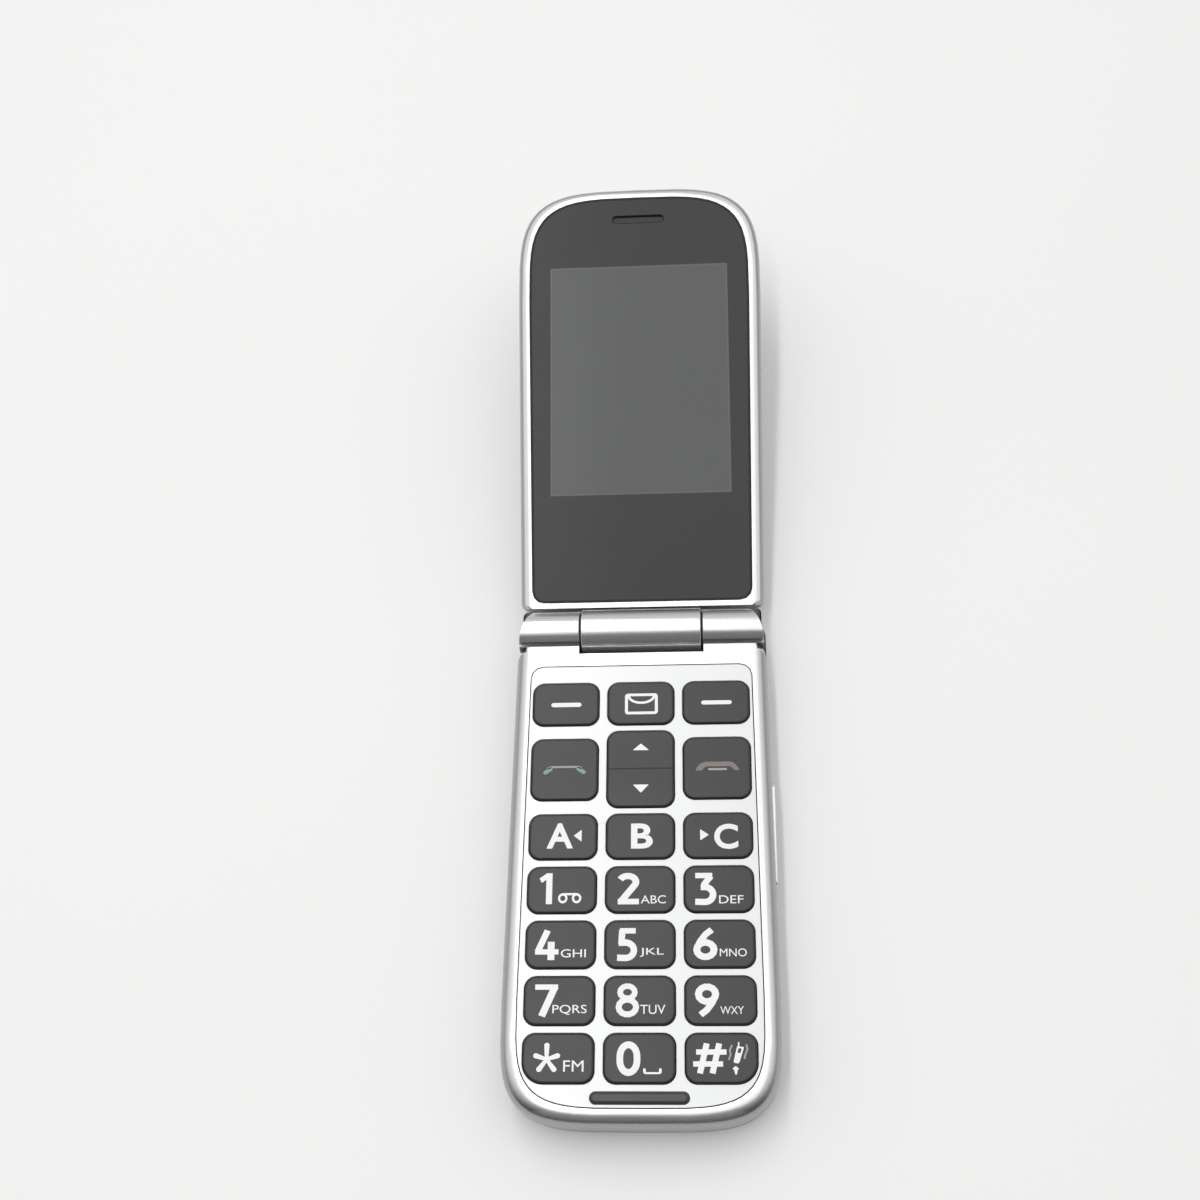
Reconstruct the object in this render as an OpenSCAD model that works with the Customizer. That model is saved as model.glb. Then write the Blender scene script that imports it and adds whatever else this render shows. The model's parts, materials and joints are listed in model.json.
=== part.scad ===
// Flip phone with a large-key keypad, lid open and resting on its back.
// Origin: middle of the base's back face. +X right, +Y towards the hinge, +Z up. Millimetres.

/* [Base] */
// Width of the base where it is widest
base_w = 51.8; // [51:0.2:58]
// Length of the base from the hinge axis to its lower end
base_reach = 97.1; // [96.5:0.5:108]
// Thickness of the base from its back to its keypad face
base_t = 12; // [12:0.25:15]
// How far the rounded sides stand out past the keypad face
base_bulge = 1.95; // [1.2:0.05:2.4]
// Flat rim between the rounded edge of the face and the keypad panel
base_rim = 0.4; // [0.3:0.05:0.6]
// How far the rounded edge of the back draws in from the widest line
base_back_round = 3.5; // [2.5:0.1:4.5]
// How much each side draws in from the lower end to the hinge
base_taper = 0.8; // [0:0.1:1.4]
// Length of the rounded lower end
base_end_l = 20.75; // [16:0.25:24]
// How square the lower end is, 2 being an ellipse
base_square = 4.3; // [3:0.1:6]
// Height of the line where the front and rear housings meet
split_z = 5.6; // [5.2:0.1:5.8]
// Wall thickness of the base housings
wall = 1.45; // [1.2:0.05:1.8]

/* [Lid] */
// How far the lid's sides lie inside the base's
lid_inset = 0.2; // [0:0.05:0.6]
// How much shorter the lid is than the base
lid_short = 0.3; // [0:0.1:1.5]
// Thickness of the lid
lid_t = 7.3; // [7.1:0.1:9]
// How far the rounded sides of the lid stand out past its inner face
lid_bulge = 1.4; // [0.8:0.05:2]
// Flat rim between the rounded edge of the lid's inner face and the window
lid_rim = 0.35; // [0.3:0.05:0.6]
// How far the rounded edge of the lid's outside draws in
lid_back_round = 4.2; // [2.5:0.1:5]
// How far the lid's outside draws in at its near end
lid_near_round = 3; // [1:0.1:3.5]
// How much each side of the lid draws in towards the hinge
lid_taper = 0.7; // [0:0.1:1.2]
// Length of the rounded top of the lid
lid_end_l = 23.2; // [18:0.2:28]
// How square the top of the lid is, 2 being an ellipse
lid_square = 3.9; // [3:0.1:6]
// Distance from the hinge axis to the near end of the lid
lid_near = 5.4; // [5.1:0.1:6.2]
// Depth of the lid's front frame below its inner face
lid_frame_t = 3; // [2.6:0.1:3.4]
// Wall thickness of the lid
lid_wall = 1.2; // [1:0.05:1.4]

/* [Hinge] */
// Radius of the hinge barrel
barrel_r = 4.1; // [4:0.05:4.3]
// Depth of the hinge axis below the keypad face
barrel_drop = 1.7; // [1.5:0.05:2]
// How far each end of the barrel lies inside the base's side
barrel_inset = 1.3; // [1.1:0.1:1.9]
// Length of the lid's centre knuckle
knuckle_w = 24.2; // [23:0.2:26]
// Gap at each end of the centre knuckle
knuckle_gap = 0.2; // [0.15:0.05:0.4]
// Radius, seen from above, that rounds the outer ends of the barrel
barrel_end_r = 12; // [10:0.5:30]
// How much larger in radius the centre knuckle is than the barrel's ends
knuckle_more = 0.35; // [0.2:0.05:0.4]
// Depth of the groove between the lid's face and its centre knuckle
knuckle_groove = 0.6; // [0.3:0.1:0.8]
// Gap between the centre knuckle and the base's notch
notch_gap = 0.8; // [0.6:0.05:1]
// Angle that the lid opens to
open_angle = 165.6; // [150:0.2:170]
// Gap between the faces of the closed phone
closed_gap = 0.7; // [0.65:0.05:1.2]
// Radial clearance of the hinge's turning fits
run_gap = 0.05; // [0.02:0.01:0.08]
// Radius of the spring cartridge in the lid's knuckle
cartridge_r = 3; // [2.8:0.05:3.1]
// Radius of the hinge shaft
shaft_r = 1.5; // [1.2:0.05:1.5]
// Radius of the hinge bush and of the shaft's head
bush_r = 2.6; // [2.4:0.05:2.7]
// Length of the bush inside each knuckle
bush_l = 5.5; // [4:0.25:6]
// Radius of the hole along the bush
bush_bore_r = 1.9; // [1.8:0.05:2]
// Wire thickness of the hinge spring
spring_wire = 0.6; // [0.5:0.05:0.7]
// Turns of the hinge spring
spring_turns = 5; // [4:1:7]

/* [Keypad] */
// Gap between key columns
column_gap = 1.8; // [1.6:0.1:2.2]
// Gap between rows of number keys
row_gap = 1.5; // [1.4:0.1:1.8]
// How much further apart the rows around the navigation key are
nav_room = 3.2; // [3:0.1:3.4]
// Distance from the panel's side to the keys
key_side = 1.4; // [1.2:0.1:1.8]
// Distance from the hinge axis to the keys
keypad_top = 11.9; // [11.7:0.05:12.5]
// Distance from the panel's lower edge to the keys
keypad_foot = 4.3; // [4.2:0.1:5]
// Corner radius of a key
key_r = 2.2; // [1.5:0.1:3]
// Corner radius at the outer lower corners of the last row
key_corner_r = 3.8; // [2.5:0.1:4.2]
// How much longer the call and end keys are than the others
call_more = 3.6; // [3:0.1:3.8]
// How much longer the navigation key is than the others
nav_more = 6.7; // [6:0.1:6.8]
// Travel of a key
key_travel = 0.4; // [0.25:0.05:0.45]
// Tilt of the navigation key to either side
nav_tilt = 2; // [1:0.25:2.25]
// Gap around each key
key_gap = 0.15; // [0.12:0.01:0.2]
// Height of the keys above the face
key_proud = 0.4; // [0.2:0.05:0.45]
// Lip that holds each key under the face
key_lip = 0.4; // [0.3:0.05:0.5]
// Thickness of the keypad panel
panel_t = 0.9; // [0.8:0.05:1]
// Distance from the edge of the face to the panel
panel_inset = 1.25; // [1:0.05:1.3]
// Distance from the hinge axis to the panel
panel_top = 8.2; // [7.5:0.1:8.6]
// Length of the rubber bumper under the keys
bumper_w = 18.1; // [14:0.1:20]
// Width of the rubber bumper
bumper_l = 2.3; // [1.8:0.1:2.4]
// Gap between the keys and the bumper
bumper_gap = 1.35; // [1.2:0.05:1.5]
// Height of the bumper above the face
bumper_proud = 0.5; // [0.3:0.05:0.55]

/* [Display] */
// Distance from the lid's side to the lit area
display_side = 6.9; // [6.8:0.1:8]
// Distance from the lid's top to the lit area
display_top = 17.8; // [17.6:0.1:20]
// Distance from the hinge axis to the lit area
display_start = 29.1; // [27:0.1:30]
// Dark margin of the display glass at its sides and top
glass_margin = 2.5; // [2:0.1:2.6]
// Dark margin of the display glass at its hinge end
glass_foot = 6.5; // [4:0.1:7]
// Thickness of the display glass
glass_t = 1.4; // [1.2:0.05:1.5]
// Thickness of the backlight
backlight_t = 1.4; // [1:0.05:1.4]
// Thickness of the window over the display
window_t = 1; // [0.8:0.05:1]
// Distance from the edge of the lid's face to the window
window_inset = 1.15; // [0.9:0.05:1.3]
// Distance from the near end of the lid to the window
window_start = 1.25; // [1:0.05:1.5]
// Distance from the top of the lid to the earpiece slot
earpiece_drop = 7.35; // [7:0.05:8]
// Length of the earpiece slot
earpiece_w = 10.7; // [8:0.1:12]
// Height of the earpiece slot
earpiece_l = 1.3; // [0.8:0.1:1.6]

/* [Battery] */
// Room between the side wall and the battery
battery_side = 5.5; // [5.4:0.1:6.5]
// Distance from the lower end to the battery
battery_foot = 24.55; // [24.5:0.05:28]
// Thickness of the battery
battery_t = 5.2; // [4.6:0.1:5.2]
// Gap around the battery
battery_gap = 0.1; // [0.05:0.01:0.12]
// Distance from the hinge axis to the battery
battery_top = 19.55; // [19:0.1:20]
// Thickness of the battery cover
cover_t = 1.2; // [1:0.05:1.3]
// Distance from the flat back's side to the battery cover
cover_side = 2.4; // [1.8:0.1:2.9]
// Distance from the flat back's lower end to the battery cover
cover_foot = 1.05; // [1:0.05:1.3]
// Distance from the hinge axis to the battery cover
cover_top = 5.3; // [5.2:0.05:5.6]
// Corner radius of the battery cover
cover_r = 6; // [4:0.25:8]
// Gap around the battery cover
cover_gap = 0.1; // [0.05:0.01:0.15]

/* [Side and back controls] */
// Length of the volume key
volume_l = 20.8; // [16:0.2:22]
// Height of the volume key
volume_h = 2.4; // [2:0.1:2.6]
// Distance from the hinge axis to the middle of the volume key
volume_drop = 42.2; // [40:0.2:44]
// Height of the middle of the volume key above the back
volume_z = 7.6; // [7.3:0.05:8]
// How far the volume key stands out of the side
volume_proud = 0.4; // [0.3:0.05:0.6]
// Tilt of the volume key to either side
volume_tilt = 2; // [1:0.25:2.25]
// Radius of the emergency button on the back
sos_r = 3.4; // [2.8:0.1:3.4]
// Distance from the hinge axis to the emergency button
sos_drop = 10.05; // [10:0.05:10.3]
// Travel of the emergency button
sos_travel = 0.5; // [0.3:0.05:0.5]
// How far the emergency button lies below the back
sos_sunk = 0.3; // [0.2:0.05:0.5]
// Radius of the headset socket
jack_r = 1.8; // [1.75:0.01:1.85]
// Depth of the headset socket
jack_l = 12; // [11:0.25:13]
// Width of the charging socket
usb_w = 6.9; // [6.5:0.1:7.2]
// Height of the charging socket
usb_h = 1.9; // [1.8:0.05:2]
// Distance from the hinge axis to the sockets
socket_drop = 8.6; // [8.5:0.05:8.9]

/* [Inside] */
// Thickness of the circuit boards
board_t = 0.8; // [0.6:0.05:0.9]
// Radius of the loudspeaker
speaker_r = 7.5; // [6:0.25:7.5]
// Thickness of the loudspeaker
speaker_t = 3.6; // [3:0.1:4]
// Radius of the vibration motor
motor_r = 2.2; // [2:0.05:2.25]
// Length of the vibration motor
motor_l = 8; // [6:0.25:8.5]
// Side of the camera module
camera_w = 6.5; // [5.5:0.25:7]
// Radius of the camera's window
camera_r = 3.2; // [2.9:0.1:3.6]
// Width of the SIM card holder
sim_w = 27; // [25:0.5:29]
// Length of the SIM card holder
sim_l = 17; // [15:0.5:19]
// Shank radius of the screws
screw_r = 0.8; // [0.7:0.05:0.9]
// Head radius of the screws
screw_head_r = 1.6; // [1.4:0.05:1.7]

/* [Hidden] */
$fn = 48;
hair = 0.01;                                   // overshoot of a solid into its neighbour in one piece
over = 1;                                      // how far a cut starts outside what it cuts
hinge_y = base_reach / 2;
base_end = hinge_y - base_reach;
hinge_z = base_t - barrel_drop;
lid_rest = 180 - open_angle;                   // the open lid's slope above level
lid_face = -barrel_drop - closed_gap;          // lid levels are along its own normal, from the axis
lid_split = lid_face - lid_frame_t;
lid_back = lid_face - lid_t;
lid_w = base_w - 2 * lid_inset;
lid_reach = base_reach - lid_short;
lid_hw = lid_w / 2 - lid_bulge;
lid_end = lid_reach - lid_bulge;
lid_edge_r = lid_bulge + window_inset - lid_rim;
steps = 6;                                     // rings in each rounded side
end_steps = 28;                                // points round a squarish end
corner_steps = 3;                              // points round a corner by the hinge

// small gaps
touch_gap = 0.05;                              // between pieces that nearly touch
lip_gap = 0.1;                                 // above the lips that keep the keys in
seat_gap = 0.1;                                // around what drops into a seat
slot_gap = 0.2;                                // around what moves in a slot
skin_gap = 0.08;                               // around the glued panel and window

// base levels
face_hw = base_w / 2 - base_bulge;
edge_r = base_bulge + panel_inset - base_rim;  // of the rounded edge of the face
back_draw = base_back_round - base_bulge;      // from the face's edge in to the flat back's
face_end = base_end + base_bulge;
end_mid = face_end + base_end_l;
key_w = (2 * (face_hw - panel_inset - key_side) - 2 * column_gap) / 3;
last_row = 6;                                  // rows are 0 to 6, columns -1 to 1
roomy_rows = 2;                                // gaps that are wider because of the navigation key
key_l = (base_reach - base_bulge - panel_inset - keypad_foot - keypad_top
         - last_row * row_gap - roomy_rows * nav_room) / (last_row + 1);
key_pitch_x = key_w + column_gap;
key_pitch_y = key_l + row_gap;
call_l = key_l + call_more;
nav_l = key_l + nav_more;
nav_swing = nav_l / 2 * sin(nav_tilt);
plate_t = 0.9;
panel_z = base_t - panel_t;
plate_z = panel_z - plate_t;
lip_t = 0.6;
mat_t = 0.3;
dome_t = 0.2;
lip_z = plate_z - lip_gap - lip_t;
nav_lip_t = 0.4;
nav_lip_z = plate_z - nav_swing - lip_gap - nav_lip_t;
mat_top = min(lip_z - key_travel, nav_lip_z - nav_swing) - touch_gap;
mat_z = mat_top - mat_t;
dome_z = mat_z - dome_t;
board_z = dome_z - board_t;
stem_r = 1.6;
floor_t = 1;
rear_floor = cover_t + floor_t;
bay_z = cover_t + battery_gap;
bay_top = bay_z + battery_t + battery_gap;
bay_roof = 0.7;
bay_wall = 0.8;

// base outlines
face_lap = 0.6;                                // how far the face runs on under the barrel
rear_short = 0.9;                              // how far the rear housing stops short of the barrel
front_near = hinge_y - sqrt(barrel_r * barrel_r - barrel_drop * barrel_drop) + face_lap;
barrel_w = base_w - 2 * barrel_inset;
rear_near = hinge_y + barrel_r - rear_short;
knuckle_r = barrel_r + knuckle_more;
notch_near = hinge_y - knuckle_r - notch_gap;
notch_wall = 1.2;
cavity_near = notch_near - notch_wall;
notch_x = knuckle_w / 2 + knuckle_gap;
panel_r = 2.4;                                 // corner radii beside the hinge, from here on
face_r = 0.6;
side_r = 2.5;
rear_r = 2.6;
cavity_r = 1;
foot_short = 0.6;                              // the knuckle's foot stops short of its outer end
foot_drop = 2.3;                               // and of the hinge axis

// base places
battery_y1 = hinge_y - battery_top;
battery_y0 = base_end + battery_foot;
battery_w = 2 * (face_hw - wall - battery_side);
battery_r = 1;
bay_y0 = battery_y0 - battery_gap;
bay_y1 = battery_y1 + battery_gap;
bay_hw = battery_w / 2 + battery_gap;
cover_y1 = hinge_y - cover_top;
cover_y0 = face_end + back_draw + cover_foot;
cover_w = 2 * (face_hw - back_draw - cover_side);
cover_grip_r = 3.2;                            // ball that cuts the cover's finger notch
cover_grip_z = -1.2;
cover_pad = [3, 4];
low_y = bay_y0 - bay_wall;                     // the hollow below the battery starts here

// keys
row_y = [for (r = [0:last_row])
         hinge_y - keypad_top - key_l / 2 - r * key_pitch_y - min(r, roomy_rows) * nav_room];
bumper_y = row_y[last_row] - key_l / 2 - bumper_gap - bumper_l / 2;
nav_stem_in = 3.1;                             // from the navigation key's ends to its stems
nav_stem_y = nav_l / 2 - nav_stem_in;
mat_hole_gap = 0.5;
sheet_margin = 0.5;                            // from the mat and dome sheet to the wall
board_margin = 0.3;

// controls
volume_y = hinge_y - volume_drop;
volume_lip = 0.6;
volume_lip_t = 0.5;
volume_swing = (volume_l / 2 + volume_lip) * sin(volume_tilt);
side_switch = [2, 1.5, 1.2];
side_switch_y = volume_l / 3;                  // from the middle of the volume key
sos_y = hinge_y - sos_drop;
sos_gap = 0.12;
sos_lip = 0.6;
sos_lip_t = 0.6;
sos_stem_r = 1.4;
switch_r = 1.8;
switch_t = 1.4;
switch_z = board_z - switch_t;                 // underside of the emergency button's switch
socket_y = hinge_y - socket_drop;
jack_wall = 0.6;
jack_nose_r = jack_r + jack_wall;
jack_z = rear_floor + jack_nose_r + seat_gap;
jack_face = 0.9;                               // how far the socket lies inside the side
jack_end_t = 1;
usb_sheet = 0.3;
usb_d = 5.4;
usb_face = 1.2;
usb_z = board_z - usb_h / 2 - usb_sheet;
usb_tongue_t = 0.6;
usb_tongue_w = 4;

// screws, in the base (x, y) and in the lid (x, distance from the axis)
boss_r = 1.7;                                  // of the front bosses, which the screws bite
rear_boss_r = 2.1;
lid_boss_r = 2.1;
screw_head_t = 0.6;
screw_sunk = 0.2;                              // from the battery cover to the screw heads
screw_gap = 0.1;
pilot_in = 0.3;                                // how far the pilot holes enter the plate
cross_slot = [0.3, 1.1, 0.4];                  // width, reach and depth
// The upper screws stand midway from the button to the headset socket and from the keys to the hinge.
upper_screw_x = (sos_r + sos_lip - jack_x() - jack_l - jack_end_t) / 2;
upper_screw_y = (hinge_y - keypad_top + key_lip + cavity_near) / 2;
// The lower ones stand between two columns, clear of the keys' round corners.
lower_screw_x = key_pitch_x / 2;
lower_reach = key_r + key_lip + boss_r + lip_gap;
lower_side = lower_screw_x - key_w / 2 + key_r;
lower_screw_y = row_y[last_row] - key_l / 2 + key_r
    - sqrt(lower_reach * lower_reach - lower_side * lower_side);
base_screws_at = [for (s = [-1, 1]) each [[s * upper_screw_x, upper_screw_y],
                                          [s * lower_screw_x, lower_screw_y]]];
lid_screw_in = [4.5, 7.3];                     // from the face's side, near and far
lid_screw_drop = 8.9;
lid_screw_foot = 6.2;
lid_screws_at = [for (s = [-1, 1]) each [[s * (lid_hw - lid_screw_in[0]), lid_near + lid_screw_foot],
                                         [s * (lid_hw - lid_screw_in[1]), lid_reach - lid_screw_drop]]];

// inside the base
contacts_w = 12;
contacts_l = 2.4;
contact_pitch = 3.5;
contact_size = [1.2, 1.6];
contacts_rise = 1.2;                           // from the battery's underside
sim_foot = 6;                                  // from the battery's lower end
sim_y = battery_y0 + sim_foot;
sim_wall = 0.8;
sim_slot = [0.2, 0.9];                         // levels of the card's slot over the battery
can = [10.5, 9.5, 2];
can_sheet = 0.3;
connector = [9, 3, 1.2];
connector_gap = 1;                             // from the battery bay's wall
parts_in = 2.5;
parts_x = wall + parts_in - face_hw;           // left side of the shield can and the connector
speaker_gap = 2.2;
speaker_y = low_y - speaker_r - speaker_gap;
speaker_rib_t = 0.8;
speaker_rib_h = 1.5;
speaker_slot_w = 1;
speaker_slot_pitch = 2.4;
motor_in = 6.1;                                // from the side wall
motor_x = face_hw - wall - motor_r - motor_in;
motor_z = rear_floor + motor_r;
motor_gap = 3;                                 // from the battery bay
motor_y0 = low_y - motor_gap - motor_l;
motor_shaft_r = 0.4;
cradle_wall = 0.6;
cradle_short = 1;
weight_short = 0.3;
weight_r = motor_r - weight_short;
weight_l = 2.6;
weight_gap = 0.3;
shaft_in = 3;                                  // length of the weight's shaft inside the motor
mic_r = 2;
mic_t = 1.5;
mic_offset = [6.5, 0.1];                       // from the shield can's side and the lower screws
mic_at = [parts_x, lower_screw_y] + mic_offset;
antenna_t = 3;
antenna_gap = [0.4, 3.6];                      // from the screw's boss and the battery bay
antenna_x = -lower_screw_x - rear_boss_r - antenna_gap[0];
antenna_y = low_y - antenna_gap[1];
antenna_leg = [1.4, 1.8];

// hinge parts
cartridge_mouth = 3;                           // the spring's room starts this deep
cartridge_end = 1.2;
shaft_end = 2.5;                               // the shaft's hole stops this far short
cartridge_wall = 0.4;
spring_room_r = cartridge_r - cartridge_wall;
spring_gap = 0.12;
coil_sides = 8;
coil_steps = 12;
flex_r = 1.4;
flex_t = 0.2;
flex_w = 2.8;
flex_gap = 0.15;
flex_out = 1.6;                                // length of the base's flex past its bush
flex_mid = knuckle_w / 2 - bush_l - flex_out;  // where the two flexes meet along the axis
cartridge_gap = 0.3;
cartridge_l = knuckle_w / 2 + flex_mid - flex_w - cartridge_gap;
flex_x = notch_x + bush_l + seat_gap;
flex_drop = 2;                                 // from the hollow's wall to where the flex goes down
flex_foot = 1.5;                               // length that lies on the main board

// lid places
lid_mid = lid_end - lid_end_l;
lid_face_r = 0.8;
lid_side_r = 0.6;
lid_rear_r = 1.4;
window_near = lid_near + window_start;
display_w = lid_w - 2 * display_side;
display_l = lid_reach - display_start - display_top;
glass_w = display_w + 2 * glass_margin;
glass_start = display_start - glass_foot;
glass_l = display_l + glass_foot + glass_margin;
glass_top = lid_face - window_t;
glass_back = glass_top - glass_t - backlight_t;
lid_plate_t = 0.9;
lid_floor = lid_back + lid_wall;
earpiece_v = lid_reach - earpiece_drop;
earpiece_body = [12, 5, 2.4];
lid_board_foot = 2.6;                          // how far the lid's board runs on past the display
lid_board_in = 2.3;
lid_board_v = glass_start - lid_board_foot;
lid_board_hw = glass_w / 2 - lid_board_in;
lid_board_gap = 0.8;
lid_flex_in = 1;
lid_flex_v = window_near + lid_flex_in;        // where the lid's flex goes down behind the display
lid_flex_top = glass_top - flex_t - touch_gap;
lid_flex_low = glass_back - board_t / 2;
camera_gap = 1;
camera_v = glass_start + glass_l + camera_gap;
camera_t = 2.2;
camera_window_t = 0.4;
camera_seat = 0.7;
camera_barrel_r = camera_r - camera_seat;
magnet_r = 2.5;
magnet_t = 1.4;
magnet_offset = [-0.9, 9.1];                   // from the knuckle's end and the lid's near end
magnet_at = [-knuckle_w / 2, lid_near] + magnet_offset;

// ---- outlines ----

function signed_pow(v, e) = sign(v) * pow(abs(v), e);

// Outline with a squarish rounded far end and small corners at the near end, anticlockwise.
function outline(hw, hw_near, far, mid, near, square, r) =
    let (s = sign(far - near),
         right = [for (i = [0:corner_steps]) let (a = -90 * s * (1 - i / corner_steps))
                  [hw_near - r + r * cos(a), near + s * r + r * sin(a)]],
         end = [for (i = [0:end_steps]) let (t = 180 * i / end_steps)
                [hw * signed_pow(cos(t), 2 / square),
                 mid + (far - mid) * signed_pow(sin(t), 2 / square)]],
         left = [for (i = [corner_steps:-1:0]) [-right[i][0], right[i][1]]],
         all = concat(right, end, left), last = len(all) - 1)
    s > 0 ? all : [for (i = [last:-1:0]) all[i]];

// Half width of the base's face at a distance y, before any rounding.
function base_hw(y) = face_hw - base_taper * (y - end_mid) / (front_near - end_mid);

// The base's outline, o outside its face's edge, ending at y = near with corners of radius r.
function base_outline(o, near, r) =
    outline(face_hw + o, base_hw(near) + o, face_end - o, end_mid, near, base_square, r);

// The lid's outline, o outside its inner face's edge.
function lid_outline(o, near, r) =
    outline(lid_hw + o, lid_hw - lid_taper + o, lid_end + o, lid_mid, near, lid_square, r);

// Solid skinned over rings of points, lowest ring first.
module loft(rings, levels) {
    n = len(rings[0]);
    k = len(rings);
    points = [for (j = [0:k - 1], p = rings[j]) [p[0], p[1], levels[j]]];
    bottom = [[for (i = [0:n - 1]) i]];
    top = [[for (i = [n - 1:-1:0]) (k - 1) * n + i]];
    sides = [for (j = [0:k - 2], i = [0:n - 1]) let (i2 = (i + 1) % n, a = j * n, b = a + n)
             each [[a + i, b + i, b + i2], [a + i, b + i2, a + i2]]];
    polyhedron(points, concat(bottom, top, sides), convexity = 4);
}

// Flat rounded rectangle; r is one radius, or four from the upper right anticlockwise.
module rounded(w, l, r) {
    rr = is_list(r) ? r : [r, r, r, r];
    x = w / 2;
    y = l / 2;
    polygon([[x, y - rr[0]], [x - rr[0], y], [-x + rr[1], y], [-x, y - rr[1]],
             [-x, -y + rr[2]], [-x + rr[2], -y], [x - rr[3], -y], [x, -y + rr[3]]]);
    translate([x - rr[0], y - rr[0]]) circle(rr[0]);
    translate([-x + rr[1], y - rr[1]]) circle(rr[1]);
    translate([-x + rr[2], -y + rr[2]]) circle(rr[2]);
    translate([x - rr[3], -y + rr[3]]) circle(rr[3]);
}

// Box centred on x, running over two ranges of y and z.
module block(w, y0, y1, z0, z1) {
    translate([-w / 2, y0, z0]) cube([w, y1 - y0, z1 - z0]);
}

// Cylinder along x between two places on the hinge axis.
module axle(r, x0, x1) {
    translate([x0, 0, 0]) rotate([0, 90, 0]) cylinder(r = r, h = x1 - x0);
}

module at_hinge() {
    translate([0, hinge_y, hinge_z]) children();
}

module in_lid() {
    at_hinge() rotate([lid_rest, 0, 0]) children();
}

// ---- keypad ----

function key_size(col, row) = row == 1 ? (col == 0 ? [key_w, nav_l] : [key_w, call_l]) : [key_w, key_l];

// Corner radii of a key, with the outer lower corners of the last row larger.
function key_corners(col, row) =
    [key_r, key_r, row == last_row && col < 0 ? key_corner_r : key_r,
     row == last_row && col > 0 ? key_corner_r : key_r];

module key_shape(col, row, grow) {
    size = key_size(col, row);
    translate([col * key_pitch_x, row_y[row]])
        rounded(size[0] + 2 * grow, size[1] + 2 * grow, [for (r = key_corners(col, row)) r + grow]);
}

module key_openings() {
    for (row = [0:last_row], col = [-1:1]) key_shape(col, row, key_gap);
}

module key(col, row) {
    stem_z = dome_z + dome_t + touch_gap + key_travel;
    color("dimgray") {
        translate([0, 0, lip_z]) linear_extrude(base_t + key_proud - lip_z) key_shape(col, row, 0);
        translate([0, 0, lip_z]) linear_extrude(lip_t) key_shape(col, row, key_lip);
        translate([col * key_pitch_x, row_y[row], stem_z]) cylinder(r = stem_r, h = lip_z - stem_z + hair);
    }
}

module key_navigation() {
    stem_z = dome_z + dome_t + touch_gap + (nav_stem_y + stem_r) * sin(nav_tilt);
    color("dimgray") {
        translate([0, 0, nav_lip_z]) linear_extrude(base_t + key_proud - nav_lip_z) key_shape(0, 1, 0);
        translate([0, 0, nav_lip_z]) linear_extrude(nav_lip_t) key_shape(0, 1, key_lip);
        for (s = [-1, 1]) translate([0, row_y[1] + s * nav_stem_y, stem_z])
            cylinder(r = stem_r, h = nav_lip_z - stem_z + hair);
    }
}

module bumper_shape(grow) {
    translate([0, bumper_y]) rounded(bumper_w + 2 * grow, bumper_l + 2 * grow, bumper_l / 2 + grow - hair);
}

module keypad_panel() {
    color("whitesmoke") translate([0, 0, panel_z]) linear_extrude(panel_t) difference() {
        polygon(panel_outline(0));
        key_openings();
        bumper_shape(0);
    }
}

function panel_outline(grow) = base_outline(grow - panel_inset, hinge_y - panel_top + grow, panel_r + grow);

module rubber_bumper() {
    color("dimgray") translate([0, 0, panel_z]) linear_extrude(panel_t + bumper_proud) bumper_shape(0);
}

// Outline shared by the mat, the dome sheet and, without the margin, the main board.
function inside_outline(margin) = base_outline(-wall - margin, cavity_near - margin, cavity_r);

module stem_holes(r) {
    for (row = [0:last_row], col = [-1:1]) {
        ys = row == 1 && col == 0 ? [-nav_stem_y, nav_stem_y] : [0];
        for (y = ys) translate([col * key_pitch_x, row_y[row] + y]) circle(r);
    }
}

module keypad_mat() {
    color("gainsboro") translate([0, 0, mat_z]) linear_extrude(mat_t) difference() {
        keypad_sheet_shape(sheet_margin);
        stem_holes(stem_r + mat_hole_gap);
        flex_notch();
    }
}

module dome_sheet() {
    color("silver") translate([0, 0, dome_z]) linear_extrude(dome_t) difference() {
        keypad_sheet_shape(sheet_margin);
        flex_notch();
    }
}

// Room in both sheets for the flex that comes down to the main board.
module flex_notch() {
    translate([flex_x - slot_gap, cavity_near - flex_drop - flex_foot - slot_gap])
        square([flex_w + 2 * slot_gap, base_w]);
}

// The board's outline less the room for the volume key and the screws.
module keypad_sheet_shape(margin) {
    difference() {
        polygon(inside_outline(margin));
        board_cuts();
    }
}

module board_cuts() {
    edge = volume_lip_x() - volume_lip_t - volume_swing - slot_gap;
    translate([edge, volume_y - volume_l / 2 - 2 * volume_lip]) square([base_w, volume_l + 4 * volume_lip]);
    for (p = base_screws_at) translate(p) circle(boss_r + slot_gap);
}

module main_board() {
    color("darkgreen") {
        translate([0, 0, board_z]) linear_extrude(board_t) keypad_sheet_shape(board_margin);
        translate([0, sos_y, switch_z]) cylinder(r = switch_r, h = switch_t);
        translate([parts_x, bay_y1 + bay_wall + connector_gap, board_z - connector[2]]) cube(connector);
        for (s = [-1, 1]) translate([side_switch_x(), volume_y + s * side_switch_y - side_switch[1] / 2,
                                     board_z - side_switch[2]]) cube(side_switch);
    }
}

// The side switches' back, so that the tilted volume key just reaches them.
function side_switch_x() = volume_lip_x() - volume_lip_t - touch_gap - side_switch[0]
    - (side_switch_y + side_switch[1] / 2) * sin(volume_tilt);

// ---- base housings ----

// Straight sides up from the split line, then the rounded edge of the face.
module front_skin() {
    angles = [for (i = [0:steps]) 90 * i / steps];
    function out(t) = base_bulge - edge_r * (1 - cos(t));
    loft(concat([base_outline(base_bulge, front_near, face_r + side_r)],
                [for (t = angles) base_outline(out(t), front_near, face_r + side_r * cos(t))]),
         concat([split_z], [for (t = angles) base_t - edge_r * (1 - sin(t))]));
}

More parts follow.
